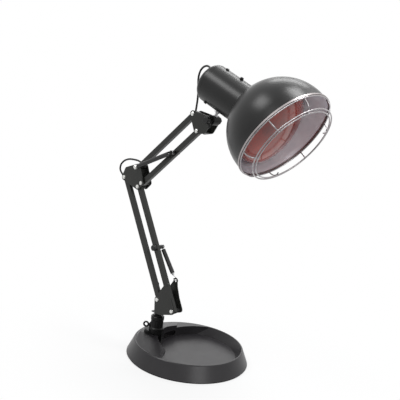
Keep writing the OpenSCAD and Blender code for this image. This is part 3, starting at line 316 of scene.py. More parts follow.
def join_pieces(name: str, parts: Sequence[bpy.types.Object]) -> bpy.types.Object:
    """Joins several objects into one piece.

    Args:
        name: the joined piece's name.
        parts: the objects, the first of which takes in the others.

    Returns:
        The joined piece.
    """
    select_only(parts)
    bpy.ops.object.join()
    obj = bpy.context.object
    obj.name = name
    return obj


def clear_selection() -> None:
    """Leaves edit mode and deselects everything."""
    if bpy.context.object and bpy.context.object.mode != "OBJECT":
        bpy.ops.object.mode_set(mode="OBJECT")
    bpy.ops.object.select_all(action="DESELECT")


def dress(
    obj: bpy.types.Object,
    material: bpy.types.Material,
    body: Optional[Body],
    replaces: Sequence[str] = (),
) -> bpy.types.Object:
    """Gives a finished piece its material and body, and hides the nodes it stands for.

    Args:
        obj: the piece, at its final place.
        material: its finish.
        body: the body it rides on, or None to leave it on no body.
        replaces: the CAD nodes that it stands for.

    Returns:
        The same piece.
    """
    if not obj.data.materials:
        obj.data.materials.append(material)
    if body is not None:
        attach(obj, body.value)
    if replaces:
        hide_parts(*replaces)
    LOG.info("piece %s: %d faces", obj.name, len(obj.data.polygons))
    return obj


def smooth(obj: bpy.types.Object, angle: float = 35.0) -> None:
    """Shades a piece smooth below an angle between faces, in degrees."""
    select_only([obj])
    bpy.ops.object.shade_smooth_by_angle(angle=math.radians(angle))


def ring_loft(
    name: str, rings: Sequence[Pair], place: Matrix, sides: int = 96, closed: bool = False,
    caps: bool = True,
) -> bpy.types.Object:
    """Models a round piece from one circle, extruded and scaled ring by ring.

    Args:
        name: the piece's name.
        rings: (radius, height) of each ring in mm; a radius of 0 closes to a point.
        place: the piece's frame in metres.
        sides: points round each ring.
        closed: whether the last ring meets the first one again.
        caps: whether open ends get a face.

    Returns:
        The piece, with its place in its mesh.
    """
    clear_selection()
    radius, height = rings[0][0] * MM, rings[0][1] * MM
    start = max(radius, POINT_RADIUS)
    bpy.ops.mesh.primitive_circle_add(vertices=sides, radius=start, location=(0, 0, 0))
    obj = bpy.context.object
    obj.name = name
    bpy.ops.object.mode_set(mode="EDIT")
    bpy.ops.mesh.select_all(action="SELECT")
    bpy.ops.transform.translate(value=(0, 0, height))
    before = start
    for ring_r, ring_z in rings[1:]:
        after = max(ring_r * MM, POINT_RADIUS)
        bpy.ops.mesh.extrude_region_move(
            TRANSFORM_OT_translate={"value": (0, 0, ring_z * MM - height)}
        )
        height = ring_z * MM
        share = after / before
        bpy.ops.transform.resize(value=(share, share, 1.0), center_override=(0, 0, height))
        before = after
    bpy.ops.mesh.select_all(action="SELECT")
    bpy.ops.mesh.remove_doubles(threshold=MERGE_CLOSED if closed else MERGE_OPEN)
    if caps and not closed:
        bpy.ops.mesh.select_all(action="DESELECT")
        bpy.ops.mesh.select_mode(type="EDGE")
        bpy.ops.mesh.select_non_manifold(
            extend=False, use_wire=False, use_boundary=True, use_multi_face=False,
            use_non_contiguous=False, use_verts=False,
        )
        bpy.ops.mesh.fill()
        bpy.ops.mesh.select_mode(type="VERT")
    bpy.ops.mesh.select_all(action="SELECT")
    bpy.ops.mesh.normals_make_consistent(inside=False)
    bpy.ops.object.mode_set(mode="OBJECT")
    obj.data.transform(place)
    obj.data.update()
    return obj


def wire(
    name: str, lines: Sequence[Sequence[Vector]], radius: float, loops: Sequence[bool] = (),
    sides: int = 3, steps: int = 3,
) -> bpy.types.Object:
    """Draws round wires along smooth lines and makes them one mesh.

    Args:
        name: the piece's name.
        lines: the points of each wire in the part's frame, in metres.
        radius: the wire's radius in metres.
        loops: whether each line closes on itself.
        sides: the bevel's resolution.
        steps: curve points between two given ones.

    Returns:
        The piece as a mesh.
    """
    clear_selection()
    curve = bpy.data.curves.new(name, "CURVE")
    curve.dimensions = "3D"
    curve.bevel_depth = radius
    curve.bevel_resolution = sides
    curve.use_fill_caps = True
    curve.resolution_u = steps
    for index, points in enumerate(lines):
        spline = curve.splines.new("NURBS")
        spline.points.add(len(points) - 1)
        for spot, point in zip(spline.points, points):
            spot.co = (*point, 1.0)
        spline.order_u = 4
        if index < len(loops) and loops[index]:
            spline.use_cyclic_u = True
        else:
            spline.use_endpoint_u = True
    obj = bpy.data.objects.new(name, curve)
    bpy.context.scene.collection.objects.link(obj)
    bpy.context.view_layer.objects.active = obj
    obj.select_set(True)
    bpy.ops.object.convert(target="MESH")
    obj = bpy.context.object
    bpy.ops.object.mode_set(mode="EDIT")
    bpy.ops.mesh.select_all(action="SELECT")
    bpy.ops.mesh.remove_doubles(threshold=MERGE_WIRE)
    bpy.ops.mesh.normals_make_consistent(inside=False)
    bpy.ops.object.mode_set(mode="OBJECT")
    smooth(obj, 50.0)
    return obj


# ------------------------------------------------------------------ head
@dataclass
class BowlShade:
    """The spun bowl with its flared mouth and bright inner face. Sizes in mm."""

    radius: float = 73.0
    wall: float = 1.2
    skirt: float = 8.7
    neck: float = 22.0
    pole: float = 2.0
    flare: float = 0.6
    steps: int = 38
    cut_depth: float = 30.0
    cut_behind: float = 5.0
    cut_sides: int = 96

    def outline(self) -> List[Pair]:
        """Returns the closed wall outline from near the pole out and back inside."""
        outer: List[Pair] = []
        inner: List[Pair] = []
        first = math.asin(self.pole / self.radius)
        for i in range(self.steps + 1):
            a = first + (math.pi / 2 - first) * i / self.steps
            outer.append((self.radius * math.sin(a), -self.radius * math.cos(a)))
            r = self.radius - self.wall
            inner.append((r * math.sin(a), -r * math.cos(a)))
        outer.append((self.radius + self.flare, self.skirt))
        inner.append((self.radius + self.flare - self.wall, self.skirt))
        return outer + inner[::-1] + [outer[0]]

    def cut_neck(self, obj: bpy.types.Object) -> None:
        """Cuts the hole for the bulb's neck, along the housing's axis.

        Args:
            obj: the bowl, which nods below that axis.
        """
        clear_selection()
        bpy.ops.mesh.primitive_cylinder_add(
            vertices=self.cut_sides, radius=self.neck * MM, depth=self.cut_depth * MM
        )
        tool = bpy.context.object
        middle = (BOWL_S - self.radius - self.cut_behind + self.cut_depth / 2) * MM
        tool.data.transform(head_matrix() @ Matrix.Translation((0.0, 0.0, middle)))
        cut = obj.modifiers.new("neck_hole", "BOOLEAN")
        cut.operation = "DIFFERENCE"
        cut.solver = "EXACT"
        cut.object = tool
        select_only([obj])
        bpy.ops.object.modifier_apply(modifier=cut.name)
        bpy.data.objects.remove(tool, do_unlink=True)

    def build(self, paint: bpy.types.Material, bright: bpy.types.Material) -> bpy.types.Object:
        """Models the bowl.

        Args:
            paint: the outside finish.
            bright: the inside finish.

        Returns:
            The shade.
        """
        place = shade_matrix()
        obj = ring_loft("bowl_shade", self.outline(), place, sides=128, closed=True)
        self.cut_neck(obj)
        obj.data.materials.append(paint)
        obj.data.materials.append(bright)
        back = place.inverted()
        middle = (self.radius - self.wall / 2) * MM
        for face in obj.data.polygons:
            spot = back @ face.center
            out = Vector((spot.x, spot.y, min(spot.z, 0.0)))
            face.material_index = 1 if out.length < middle else 0
        smooth(obj, 40.0)
        return dress(obj, paint, Body.HEAD, ["shade"])


@dataclass
class WireGuard:
    """Bright wire guard: three hoops and the bent ribs that carry them. Sizes in mm."""

    wire_r: float = 0.9
    hoops: Tuple[Pair, ...] = ((73.0, 10.3), (64.0, 25.22), (60.0, 26.3))
    rib_r: float = 71.15
    rib_foot: float = 9.4
    bend: float = 12.65
    bend_z: float = 11.8
    tip_r: float = 58.3
    foot_step: float = 0.4
    tip_step: float = 0.6
    ribs: int = 8
    hoop_points: int = 48

    def _spot(self, radius: float, angle: float, height: float) -> Vector:
        """Returns a point round the bowl's axis, in the part's frame."""
        local = Vector((radius * math.cos(angle), radius * math.sin(angle), height)) * MM
        return shade_matrix() @ local

    def build_hoops(self, finish: bpy.types.Material) -> bpy.types.Object:
        """Models the three hoops.

        Args:
            finish: the wire's finish.

        Returns:
            The hoops, as one piece.
        """
        lines = [
            [
                self._spot(r, 2 * math.pi * i / self.hoop_points, z)
                for i in range(self.hoop_points)
            ]
            for r, z in self.hoops
        ]
        obj = wire("guard_hoops", lines, self.wire_r * MM, [True] * len(lines), sides=4)
        return dress(obj, finish, Body.HEAD, ["guard_rings"])

    def build_ribs(self, finish: bpy.types.Material) -> bpy.types.Object:
        """Models the bent ribs.

        Args:
            finish: the wire's finish.

        Returns:
            The ribs, as one piece.
        """
        lines = []
        centre_r = self.rib_r - self.bend
        for i in range(self.ribs):
            angle = 2 * math.pi * (i + 0.5) / self.ribs
            line = [self._spot(self.rib_r, angle, self.rib_foot + self.foot_step * k)
                    for k in range(3)]
            line += [
                self._spot(
                    centre_r + self.bend * math.cos(math.radians(a)), angle,
                    self.bend_z + self.bend * math.sin(math.radians(a)),
                )
                for a in range(0, 91, 10)
            ]
            line += [self._spot(self.tip_r - self.tip_step * k, angle, self.bend_z + self.bend)
                     for k in range(1, 3)]
            lines.append(line)
        obj = wire("guard_wires", lines, self.wire_r * MM, sides=4)
        return dress(obj, finish, Body.HEAD, ["guard_ribs"])


@dataclass
class ReflectorBulb:
    """The red reflector bulb's blown glass, from its screw cap to its face. Sizes in mm."""

    radius: float = 59.0
    neck_r: float = 17.5
    cap_r: float = 13.2
    neck_s: float = 38.4
    flare_s: float = 76.0
    dome_s: float = 121.0
    front_s: float = 138.0
    flare_steps: int = 18
    dome_steps: int = 18

    def outline(self) -> List[Pair]:
        """Returns the glass's outer line from the cap to the middle of its face."""
        line: List[Pair] = [
            (self.cap_r - 1.4, self.neck_s + 0.1),
            (self.cap_r + 0.6, self.neck_s + 1.5),
            (self.neck_r - 0.9, self.neck_s + 4.6),
            (self.neck_r, self.neck_s + 7.5),
        ]
        for i in range(self.flare_steps + 1):
            u = i / self.flare_steps
            wide = self.neck_r + (self.radius - self.neck_r) * math.sin(math.pi / 2 * u)
            line.append((wide, self.flare_s + (self.dome_s - self.flare_s) * u))
        for i in range(1, self.dome_steps + 1):
            a = math.pi / 2 * i / self.dome_steps
            depth = self.front_s - self.dome_s
            line.append((self.radius * math.cos(a), self.dome_s + depth * math.sin(a)))
        return line

    def build(self, glass: bpy.types.Material) -> bpy.types.Object:
        """Models the glass with the given finish and returns it."""
        obj = ring_loft("bulb_envelope", self.outline(), head_matrix(), sides=96)
        smooth(obj, 50.0)
        return dress(obj, glass, Body.BULB, ["bulb_glass"])


# ------------------------------------------------------------------ springs
@dataclass
class TensionSpring:
    """A close-wound tension spring with a loop at each end. Sizes in mm."""

    name: str
    node: str
    pull: Pair
    anchor: Pair
    y: float
    bodies: Tuple[Body, Body]
    big_hook: bool
    wire_r: float = 0.6
    coil_r: float = 2.0
    loop_r: float = 2.7
    hook_r: float = 3.2
    points: int = 10
    shank: float = 2.4
    coil_gap: float = 0.04
    loop_points: int = 15
    loop_step: float = 24.0

    def loop(self, radius: float, middle: float, first: float, across: bool) -> List[Vector]:
        """Draws one open loop of wire.

        Args:
            radius: the loop's radius.
            middle: how far along the spring its centre lies.
            first: the angle that it starts at, in degrees.
            across: whether it stands across the arm's plane.

        Returns:
            Its points in the spring's own frame, in mm.
        """
        spots: List[Vector] = []
        for k in range(self.loop_points):
            a = math.radians(first - k * self.loop_step)
            side = radius * math.cos(a)
            x, y = (0.0, side) if across else (side, 0.0)
            spots.append(Vector((x, y, middle + radius * math.sin(a))))
        return spots

    def line(self) -> List[Vector]:
        """Returns the wire's line: loop, coil and loop, in the part's frame."""
        place = line_matrix(self.pull, self.anchor, self.y)
        length = math.dist(self.pull, self.anchor)
        if self.big_hook:
            low = 2 * self.hook_r
            spots = self.loop(self.hook_r, self.hook_r, 75.0, across=True)
        else:
            low = self.loop_r
            spots = self.loop(self.loop_r, 0.0, 75.0, across=False)
        start, end = low + self.shank, length - self.loop_r - self.shank
        turns = int((end - start) / (2 * self.wire_r + self.coil_gap))
        total = turns * self.points
        for i in range(total + 1):
            a = 2 * math.pi * i / self.points
            share = min(1.0, i / (2 * self.points), (total - i) / (2 * self.points))
            r = self.wire_r + (self.coil_r - self.wire_r) * share
            spots.append(Vector((r * math.cos(a), r * math.sin(a),
                                 start + (end - start) * i / total)))
        spots += self.loop(self.loop_r, length, 255.0, across=False)
        return [place @ (spot * MM) for spot in spots]

    def build(self, finish: bpy.types.Material) -> bpy.types.Object:
        """Models the spring at its rest place, on no body.

        Args:
            finish: the wire's finish.

        Returns:
            The spring.
        """
        obj = wire(self.name, [self.line()], self.wire_r * MM, sides=2, steps=1)
        dress(obj, finish, None, [self.node])
        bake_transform(obj)
        return obj


@dataclass
class SpringSleeve:
    """The soft sleeve over a spring, slightly creased. Sizes in mm."""

    name: str
    node: str
    pull: Pair
    anchor: Pair
    y: float
    bodies: Tuple[Body, Body]
    start: float
    finish: float
    radius: float = 3.5
    wall: float = 0.7
    steps: int = 26
    lip: float = 0.15
    skin: float = 0.1

    def build(self, finish: bpy.types.Material) -> bpy.types.Object:
        """Models the sleeve at its rest place, on no body.

        Args:
            finish: the sleeve's finish.

        Returns:
            The sleeve.
        """
        span = self.finish - self.start
        rings: List[Pair] = [(self.radius - self.wall, self.start)]
        rings.append((self.radius - self.lip, self.start))
        for i in range(1, self.steps):
            crease = 0.06 * math.sin(i * 2.4) + 0.04 * math.sin(i * 5.1)
            rings.append((self.radius - self.skin + crease, self.start + span * i / self.steps))
        rings.append((self.radius - self.lip, self.finish))
        rings.append((self.radius - self.wall, self.finish))
        rings.append(rings[0])
        place = line_matrix(self.pull, self.anchor, self.y)
        obj = ring_loft(self.name, rings, place, sides=32, closed=True)
        smooth(obj, 40.0)
        dress(obj, finish, None, [self.node])
        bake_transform(obj)
        return obj


# ------------------------------------------------------------------ leads
@dataclass
class LampLead:
    """One stretch of the round mains lead along the arms. Points in mm in the arm's plane."""

    name: str
    node: str
    route: Tuple[Point, ...]
    body: Optional[Body]
    bodies: Optional[Tuple[Body, Body]] = None
    radius: float = 1.5
    between: int = 6

    def smooth_route(self) -> List[Vector]:
        """Returns points along a smooth line through the route, in the part's frame."""
        points = [Vector(p) for p in self.route]
        ends = [2 * points[0] - points[1]] + points + [2 * points[-1] - points[-2]]
        out: List[Vector] = []
        for i in range(1, len(ends) - 2):
            p0, p1, p2, p3 = ends[i - 1 : i + 3]
            for k in range(self.between):
                t = k / self.between
                out.append(
                    0.5 * (2 * p1 + (p2 - p0) * t + (2 * p0 - 5 * p1 + 4 * p2 - p3) * t ** 2
                           + (3 * p1 - p0 - 3 * p2 + p3) * t ** 3)
                )
        out.append(points[-1])
        return [arm_point(p.x, p.y, p.z) for p in out]

    def build(self, finish: bpy.types.Material) -> bpy.types.Object:
        """Args:
            finish: the lead's finish.

        Returns:
            The stretch.
        """
        path = self.smooth_route()
        obj = wire(self.name, [path], self.radius * MM, sides=4, steps=1)
        dress(obj, finish, self.body, [self.node])
        if self.bodies is not None:
            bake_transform(obj)
        return obj


LEADS: Tuple[LampLead, ...] = (
    LampLead("lead_head", "lead_head_loop", (
        (45.3, 0, 450.5), (42.5, 0, 451.6), (36, 0.5, 453.5), (28.5, 1, 451), (23, 1.5, 444.5),
        (20.8, 2, 435), (21.6, 2.5, 424), (22.9, 3, 413), (23, 3.5, 402), (22.4, 3.5, 386.6),
    ), None, (Body.HEAD_BRACKET, Body.HEAD)),
    LampLead("lead_upper", "lead_upper_run", (
        (22.38, 3.5, 386.3), (21.9, 3.5, 382.6), (20.2, 2.6, 378), (16.8, -1, 372.4),
        (13.6, -3.2, 368.2), (7, -3.5, 361.8), (-24, -3.5, 331.9), (-52, -3.5, 304.9),
        (-59, -3.2, 298.6), (-62.6, -1, 295.6), (-66, 2.3, 293.2), (-70, 3.4, 291.6),
        (-73.8, 3.5, 291),
    ), Body.TIE_BAR),
    LampLead("lead_elbow", "lead_elbow_loop", (
        (-74.2, 3.5, 290.95), (-77, 3.5, 290.9), (-83, 3.5, 291.9), (-88, 3.5, 292.6),
        (-98, 3.5, 292.4), (-108, 3.5, 291), (-118, 3.5, 286.6), (-125, 3.5, 279),
        (-125.4, 3.5, 270.6), (-119, 3.5, 264.2), (-111, 3.5, 260.4), (-102.4, 3.5, 257.4),
    ), Body.ELBOW),
    LampLead("lead_lower", "lead_lower_run", (
        (-101.9, 3.5, 257.05), (-98.6, 3.4, 254.4), (-95.4, 2.2, 250.2), (-92.6, -1, 246.8),
        (-90, -3.2, 243), (-86, -3.5, 238.2), (-60, -3.5, 194.2), (-34, -3.5, 150.2),
        (-13.2, -3.5, 115), (-11.2, -3.3, 111.6), (-10, -2.4, 109.6), (-9.77, -0.8, 109.24),
        (-9.67, 1.5, 109.07),
    ), Body.REAR_BAR),
)


# ------------------------------------------------------------------ small hardware
@dataclass
class ScrewThread:
    """The raised thread of a screw, wound round its shaft. Sizes in mm."""

    name: str
    place: Matrix
    radius: float
    start: float
    finish: float
    pitch: float
    ridge: float
    slot: str
    body: Body
    points: int = 18

    def build(self, finish: bpy.types.Material) -> bpy.types.Object:
        """Models the thread, which fades out at both ends.

        Args:
            finish: the screw's finish.

        Returns:
            The thread.
        """
        turns = (self.finish - self.start) / self.pitch
        total = int(turns * self.points)
        line = []
        for i in range(total + 1):
            a = 2 * math.pi * i / self.points
            fade = min(1.0, i / self.points, (total - i) / self.points)
            r = self.radius - self.ridge * (1.0 - fade)
            height = self.start + (self.finish - self.start) * i / total
            line.append(self.place @ (Vector((r * math.cos(a), r * math.sin(a), height)) * MM))
        obj = wire(self.name, [line], self.ridge * MM, sides=1, steps=1)
        return dress(obj, finish, self.body)


@dataclass
class WeldSet:
    """Small weld beads where the guard's ribs meet its hoops. Sizes in mm."""

    guard: WireGuard
    bead_r: float = 1.15
    seats: Tuple[Pair, ...] = ((72.1, 10.3), (63.9, 24.6), (60.0, 25.4))

    def spots(self) -> List[Point]:
        """Returns (radius, angle, height) of each bead."""
        out: List[Point] = []
        for i in range(self.guard.ribs):
            angle = 2 * math.pi * (i + 0.5) / self.guard.ribs
            out += [(radius, angle, height) for radius, height in self.seats]
        return out

    def build(self, finish: bpy.types.Material) -> bpy.types.Object:
        """Models the beads.

        Args:
            finish: the beads' finish.

        Returns:
            The beads, as one piece.
        """
        place = shade_matrix()
        clear_selection()
        beads = []
        for radius, angle, height in self.spots():
            local = Vector((radius * math.cos(angle), radius * math.sin(angle), height)) * MM
            bpy.ops.mesh.primitive_uv_sphere_add(
                segments=12, ring_count=8, radius=self.bead_r * MM, location=place @ local
            )
            beads.append(bpy.context.object)
        obj = join_pieces("guard_welds", beads)
        bpy.ops.object.transform_apply(location=True, rotation=True, scale=True)
        smooth(obj, 60.0)
        return dress(obj, finish, Body.HEAD)


@dataclass
class KnobGrip:
    """Ridges round the tilt knob, along its axle. Sizes in mm."""

    radius: float = 5.2
    ridges: int = 18
    near: float = -17.8
    far: float = -12.6
    ridge_r: float = 0.32

    def build(self, finish: bpy.types.Material) -> bpy.types.Object:
        """Models the ridges.

        Args:
            finish: the knob's finish.

        Returns:
            The ridges, as one piece.
        """
        lines = []
        for i in range(self.ridges):
            a = 2 * math.pi * i / self.ridges
            x = PIN_T[0] + self.radius * math.cos(a)
            z = PIN_T[1] + self.radius * math.sin(a)
            lines.append([
                arm_point(x, self.near + (self.far - self.near) * k / 3, z) for k in range(4)
            ])
        obj = wire("knob_grip", lines, self.ridge_r * MM, sides=1, steps=1)
        return dress(obj, finish, Body.TILT_KNOB)


@dataclass
class PivotSpacers:
    """Black spacer tubes round a bracket's rivets, beside its bars. Sizes in mm."""

    name: str
    pins: Tuple[Pair, ...]
    body: Body
    radius: float = 3.86
    near: float = -0.3
    far: float = 7.95
    edge: float = 0.25

    def build(self, finish: bpy.types.Material) -> bpy.types.Object:
        """Models the spacers.

        Args:
            finish: their finish.

        Returns:
            The spacers, as one piece.
        """
        turn = Matrix.Rotation(math.radians(-90.0), 4, "X")
        span = self.far - self.near
        rings = [(self.radius - self.edge, 0.0), (self.radius, self.edge),
                 (self.radius, span - self.edge), (self.radius - self.edge, span)]
        tubes = []
        for pin in self.pins:
            place = Matrix.Translation(arm_point(pin[0], self.near, pin[1])) @ turn
            tubes.append(ring_loft(self.name, rings, place, sides=32))
        obj = join_pieces(self.name, tubes)
        smooth(obj, 40.0)
        return dress(obj, finish, self.body)


# ------------------------------------------------------------------ carried-over CAD nodes
@dataclass
class CarriedNodes:
    """Dresses the CAD nodes that stay as they are in their record's finishes."""

    record: Dict
    nodes: Dict[str, bpy.types.Object]

    def dress(self, finishes: Dict[str, bpy.types.Material]) -> None:
        """Gives every shown CAD node its finish.

        Args:
            finishes: the materials by slot name.
        """
        slots = {part["node"]: part["material_slot"] for part in self.record["subparts"]}
        for name, obj in sorted(self.nodes.items()):
            obj.data.materials.clear()
            obj.data.materials.append(finishes[slots[name]])
            LOG.info("CAD node %s in %s", name, slots[name])


# ------------------------------------------------------------------ studio
@dataclass
class Studio:
    """Camera, soft lights, white floor and background."""

    eye: Point = (0.6547, -0.7977, 0.4449)
    turn: float = 40.0
    pitch: float = 10.5
    roll: float = 7.4
    lens: float = 62.1
    sensor: float = 36.0
    floor_size: float = 12.0
    lights: List[Tuple[str, Point, Point, Pair, float]] = field(
        default_factory=lambda: [
            ("key_softbox", (0.25, 0.25, 1.59), (0.12, -0.03, 0.40), (0.42, 0.42), 9.0),
            ("left_softbox", (-0.46, -0.72, 1.40), (0.08, -0.03, 0.38), (0.60, 0.45), 7.0),
            ("back_strip", (-0.40, 0.79, 1.33), (0.03, 0.0, 0.40), (0.80, 0.26), 4.0),
            ("front_fill", (1.30, -0.55, 0.75), (0.10, -0.03, 0.33), (0.60, 0.60), 5.0),
            ("tray_glow", (-0.85, 1.08, 0.66), (0.03, 0.0, 0.02), (0.90, 0.50), 1.0),
        ]
    )

    def place_camera(self) -> None:
        """Sets the camera at the photograph's view, with its small roll."""
        a, p, r = (math.radians(v) for v in (self.turn, self.pitch, self.roll))
        forward = Vector((-math.sin(a) * math.cos(p), math.cos(a) * math.cos(p), -math.sin(p)))
        right = Vector((math.cos(a), math.sin(a), 0.0))
        up = right.cross(forward)
        right_rolled = math.cos(r) * right + math.sin(r) * up
        up_rolled = -math.sin(r) * right + math.cos(r) * up
        frame = Matrix((right_rolled, up_rolled, -forward)).transposed().to_4x4()
        frame.translation = Vector(self.eye)
        data = bpy.data.cameras.new("photo_camera")
        data.sensor_width = self.sensor
        data.lens = self.lens
        camera = bpy.data.objects.new("photo_camera", data)
        camera.matrix_world = frame
        bpy.context.scene.collection.objects.link(camera)
        bpy.context.scene.camera = camera

    def hang_lights(self) -> None:
        """Adds the area lights."""
        for name, spot, aim, size, power in self.lights:
            data = bpy.data.lights.new(name, "AREA")
            data.shape = "RECTANGLE"
            data.size, data.size_y = size
            data.energy = power
            lamp = bpy.data.objects.new(name, data)
            lamp.location = spot
            lamp.rotation_mode = "QUATERNION"
            lamp.rotation_quaternion = (Vector(aim) - Vector(spot)).to_track_quat("-Z", "Y")
            bpy.context.scene.collection.objects.link(lamp)

    def _seen(self, nodes: bpy.types.Nodes, links: bpy.types.NodeLinks) -> bpy.types.NodeSocket:
        """Adds nodes that tell which rays see the plain white background.

        Args:
            nodes: the node tree's nodes.
            links: its links.

        Returns:
            A socket that is 1 for rays from the camera, off gloss or through glass.
        """
        path = nodes.new("ShaderNodeLightPath")
        one = nodes.new("ShaderNodeMath")
        one.operation = "MAXIMUM"
        two = nodes.new("ShaderNodeMath")
        two.operation = "MAXIMUM"
        links.new(path.outputs["Is Camera Ray"], one.inputs[0])
        links.new(path.outputs["Is Glossy Ray"], one.inputs[1])
        links.new(one.outputs[0], two.inputs[0])
        links.new(path.outputs["Is Transmission Ray"], two.inputs[1])
        return two.outputs[0]

    def _ramp(
        self, nodes: bpy.types.Nodes, span: Pair, values: Pair
    ) -> bpy.types.Node:
        """Adds a node that turns one span of numbers into another.

        Args:
            nodes: the node tree's nodes.
            span: the lowest and highest number in.
            values: the numbers out at those ends.

        Returns:
            The node.
        """
        node = nodes.new("ShaderNodeMapRange")
        node.inputs["From Min"].default_value, node.inputs["From Max"].default_value = span
        node.inputs["To Min"].default_value, node.inputs["To Max"].default_value = values
        return node

    def paint_world(self) -> None:
        """Makes a white background over a dim even light."""
        world = bpy.data.worlds.new("studio_world")
        bpy.context.scene.world = world
        world.use_nodes = True
        nodes, links = world.node_tree.nodes, world.node_tree.links
        output = nodes["World Output"]
        dim = nodes["Background"]
        dim.inputs["Color"].default_value = (0.95, 0.97, 1.0, 1.0)
        dim.inputs["Strength"].default_value = 0.35
        white = nodes.new("ShaderNodeBackground")
        white.inputs["Color"].default_value = (1.0, 1.0, 1.0, 1.0)
        white.inputs["Strength"].default_value = 1.0
        mix = nodes.new("ShaderNodeMixShader")
        links.new(self._seen(nodes, links), mix.inputs[0])
        links.new(dim.outputs[0], mix.inputs[1])
        links.new(white.outputs[0], mix.inputs[2])
        links.new(mix.outputs[0], output.inputs["Surface"])

    def lay_floor(self) -> None:
        """Lays the white floor, which keeps a soft shadow under the base; to glossy rays its
        glow dims towards +x as a painted reflection.
        """
        clear_selection()
        bpy.ops.mesh.primitive_plane_add(size=self.floor_size, location=(0, 0, 0))
        floor = bpy.context.object
        floor.name = "studio_floor"
        material = bpy.data.materials.new("floor_paper")
        material.use_nodes = True
        nodes, links = material.node_tree.nodes, material.node_tree.links
        paper = nodes["Principled BSDF"]
        paper.inputs["Base Color"].default_value = (0.9, 0.9, 0.9, 1.0)
        paper.inputs["Roughness"].default_value = 0.9
        paper.inputs["Specular IOR Level"].default_value = 0.1
        glow = nodes.new("ShaderNodeEmission")
        glow.inputs["Color"].default_value = (1.0, 1.0, 1.0, 1.0)
        place = nodes.new("ShaderNodeTexCoord")
        reach = nodes.new("ShaderNodeVectorMath")
        reach.operation = "LENGTH"
        links.new(place.outputs["Object"], reach.inputs[0])
        fade = self._ramp(nodes, (0.10, 0.34), (0.80, 1.0))
        links.new(reach.outputs["Value"], fade.inputs["Value"])
        scale = nodes.new("ShaderNodeMath")
        scale.operation = "MULTIPLY"
        links.new(fade.outputs["Result"], scale.inputs[1])
        links.new(self._seen(nodes, links), scale.inputs[0])
        # Painted reflection: to glossy rays only, the floor's glow fades from white to dim
        # towards +x and -y, so the lamp's glossy parts reflect a darker floor on that side.
        across = nodes.new("ShaderNodeVectorMath")
        across.operation = "DOT_PRODUCT"
        across.inputs[1].default_value = (0.8, -0.6, 0.0)
        links.new(place.outputs["Object"], across.inputs[0])
        shade = self._ramp(nodes, (-0.1, 0.9), (1.0, 0.12))
        links.new(across.outputs["Value"], shade.inputs["Value"])
        path = nodes.new("ShaderNodeLightPath")
        painted_reflection_dim = nodes.new("ShaderNodeMix")
        painted_reflection_dim.data_type = "FLOAT"
        painted_reflection_dim.inputs[2].default_value = 1.0
        links.new(path.outputs["Is Glossy Ray"], painted_reflection_dim.inputs[0])
        links.new(shade.outputs["Result"], painted_reflection_dim.inputs[3])
        links.new(painted_reflection_dim.outputs[0], glow.inputs["Strength"])
        mix = nodes.new("ShaderNodeMixShader")
        links.new(scale.outputs[0], mix.inputs[0])
        links.new(paper.outputs[0], mix.inputs[1])
        links.new(glow.outputs[0], mix.inputs[2])
        links.new(mix.outputs[0], nodes["Material Output"].inputs["Surface"])
        floor.data.materials.append(material)

    def build(self) -> None:
        """Sets up the whole studio."""
        bpy.context.scene.view_settings.view_transform = "Standard"
        self.place_camera()
        self.hang_lights()
        self.paint_world()
        self.lay_floor()
        LOG.info("studio: camera, %d lights, floor", len(self.lights))


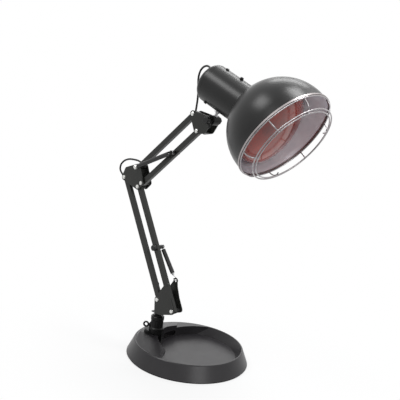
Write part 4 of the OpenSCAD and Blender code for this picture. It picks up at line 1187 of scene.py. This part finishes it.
# ------------------------------------------------------------------ the whole lamp
@dataclass
class HeatLamp:
    """Builds and dresses every sub-assembly in order."""

    frame: Dict
    finishes: Dict[str, bpy.types.Material]

    def build_head(self) -> None:
        """Builds the shade, guard and bulb."""
        BowlShade().build(self.finishes["head_paint"], self.finishes["reflector"])
        guard = WireGuard()
        guard.build_hoops(self.finishes["guard_wire"])
        guard.build_ribs(self.finishes["guard_wire"])
        ReflectorBulb().build(self.finishes["red_glass"])

    def build_springs(self) -> None:
        """Builds both springs and their sleeves."""
        low = (Body.LOWER_BRACKET, Body.FRONT_BAR)
        top = (Body.ELBOW, Body.SUPPORT_BAR)
        low_l = math.dist(EYE, LOWER_ANCHOR)
        top_l = math.dist(PIN_F, UPPER_ANCHOR)
        steel, soft = self.finishes["spring_steel"], self.finishes["sleeve_plastic"]
        TensionSpring("lower_coil", "lower_spring", EYE, LOWER_ANCHOR, LOWER_SPRING_Y, low,
                      big_hook=True).build(steel)
        TensionSpring("upper_coil", "upper_spring", PIN_F, UPPER_ANCHOR, UPPER_SPRING_Y, top,
                      big_hook=False).build(steel)
        SpringSleeve("lower_sleeve", "lower_spring_sleeve", EYE, LOWER_ANCHOR, LOWER_SPRING_Y,
                     low, start=12.8, finish=low_l - 5.0).build(soft)
        SpringSleeve("upper_sleeve", "upper_spring_sleeve", PIN_F, UPPER_ANCHOR, UPPER_SPRING_Y,
                     top, start=5.0, finish=top_l - 5.0).build(soft)

    def build_leads(self) -> None:
        """Builds the four stretches of the lead."""
        for lead in LEADS:
            lead.build(self.finishes["lead_rubber"])

    def build_hardware(self) -> None:
        """Builds the clamp's thread, the guard's welds, the knob's ridges and the spacers."""
        base = Matrix.Rotation(math.radians(BASE_TURN), 4, "Z")
        under = base @ Matrix.Translation(Vector((CLAMP_SCREW_X, 0.0, 0.0)) * MM)
        ScrewThread("clamp_thread", under, radius=2.98, start=11.4, finish=23.6, pitch=1.0,
                    ridge=0.32, slot="zinc", body=Body.CLAMP_SCREW).build(self.finishes["zinc"])
        WeldSet(WireGuard()).build(self.finishes["guard_wire"])
        KnobGrip().build(self.finishes["black_plastic"])
        black = self.finishes["satin_black"]
        PivotSpacers("lower_spacers", (PIN_A, PIN_C), Body.LOWER_BRACKET).build(black)
        PivotSpacers("elbow_spacers", (PIN_B, PIN_D, PIN_E, PIN_F), Body.ELBOW).build(black)
        PivotSpacers("head_spacers", (PIN_G, PIN_H), Body.HEAD_BRACKET, radius=3.8).build(black)

    def build(self) -> None:
        """Builds the lamp, the cords first."""
        self.build_leads()
        CarriedNodes(self.frame["record"], self.frame["nodes"]).dress(self.finishes)
        self.build_head()
        self.build_springs()
        self.build_hardware()


def main() -> None:
    """Loads the frame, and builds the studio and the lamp."""
    logging.basicConfig(level=logging.INFO, format="%(name)s: %(message)s")
    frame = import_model()
    Studio().build()
    HeatLamp(frame, FinishSet().build()).build()
    clear_selection()


if __name__ == "__main__":
    main()
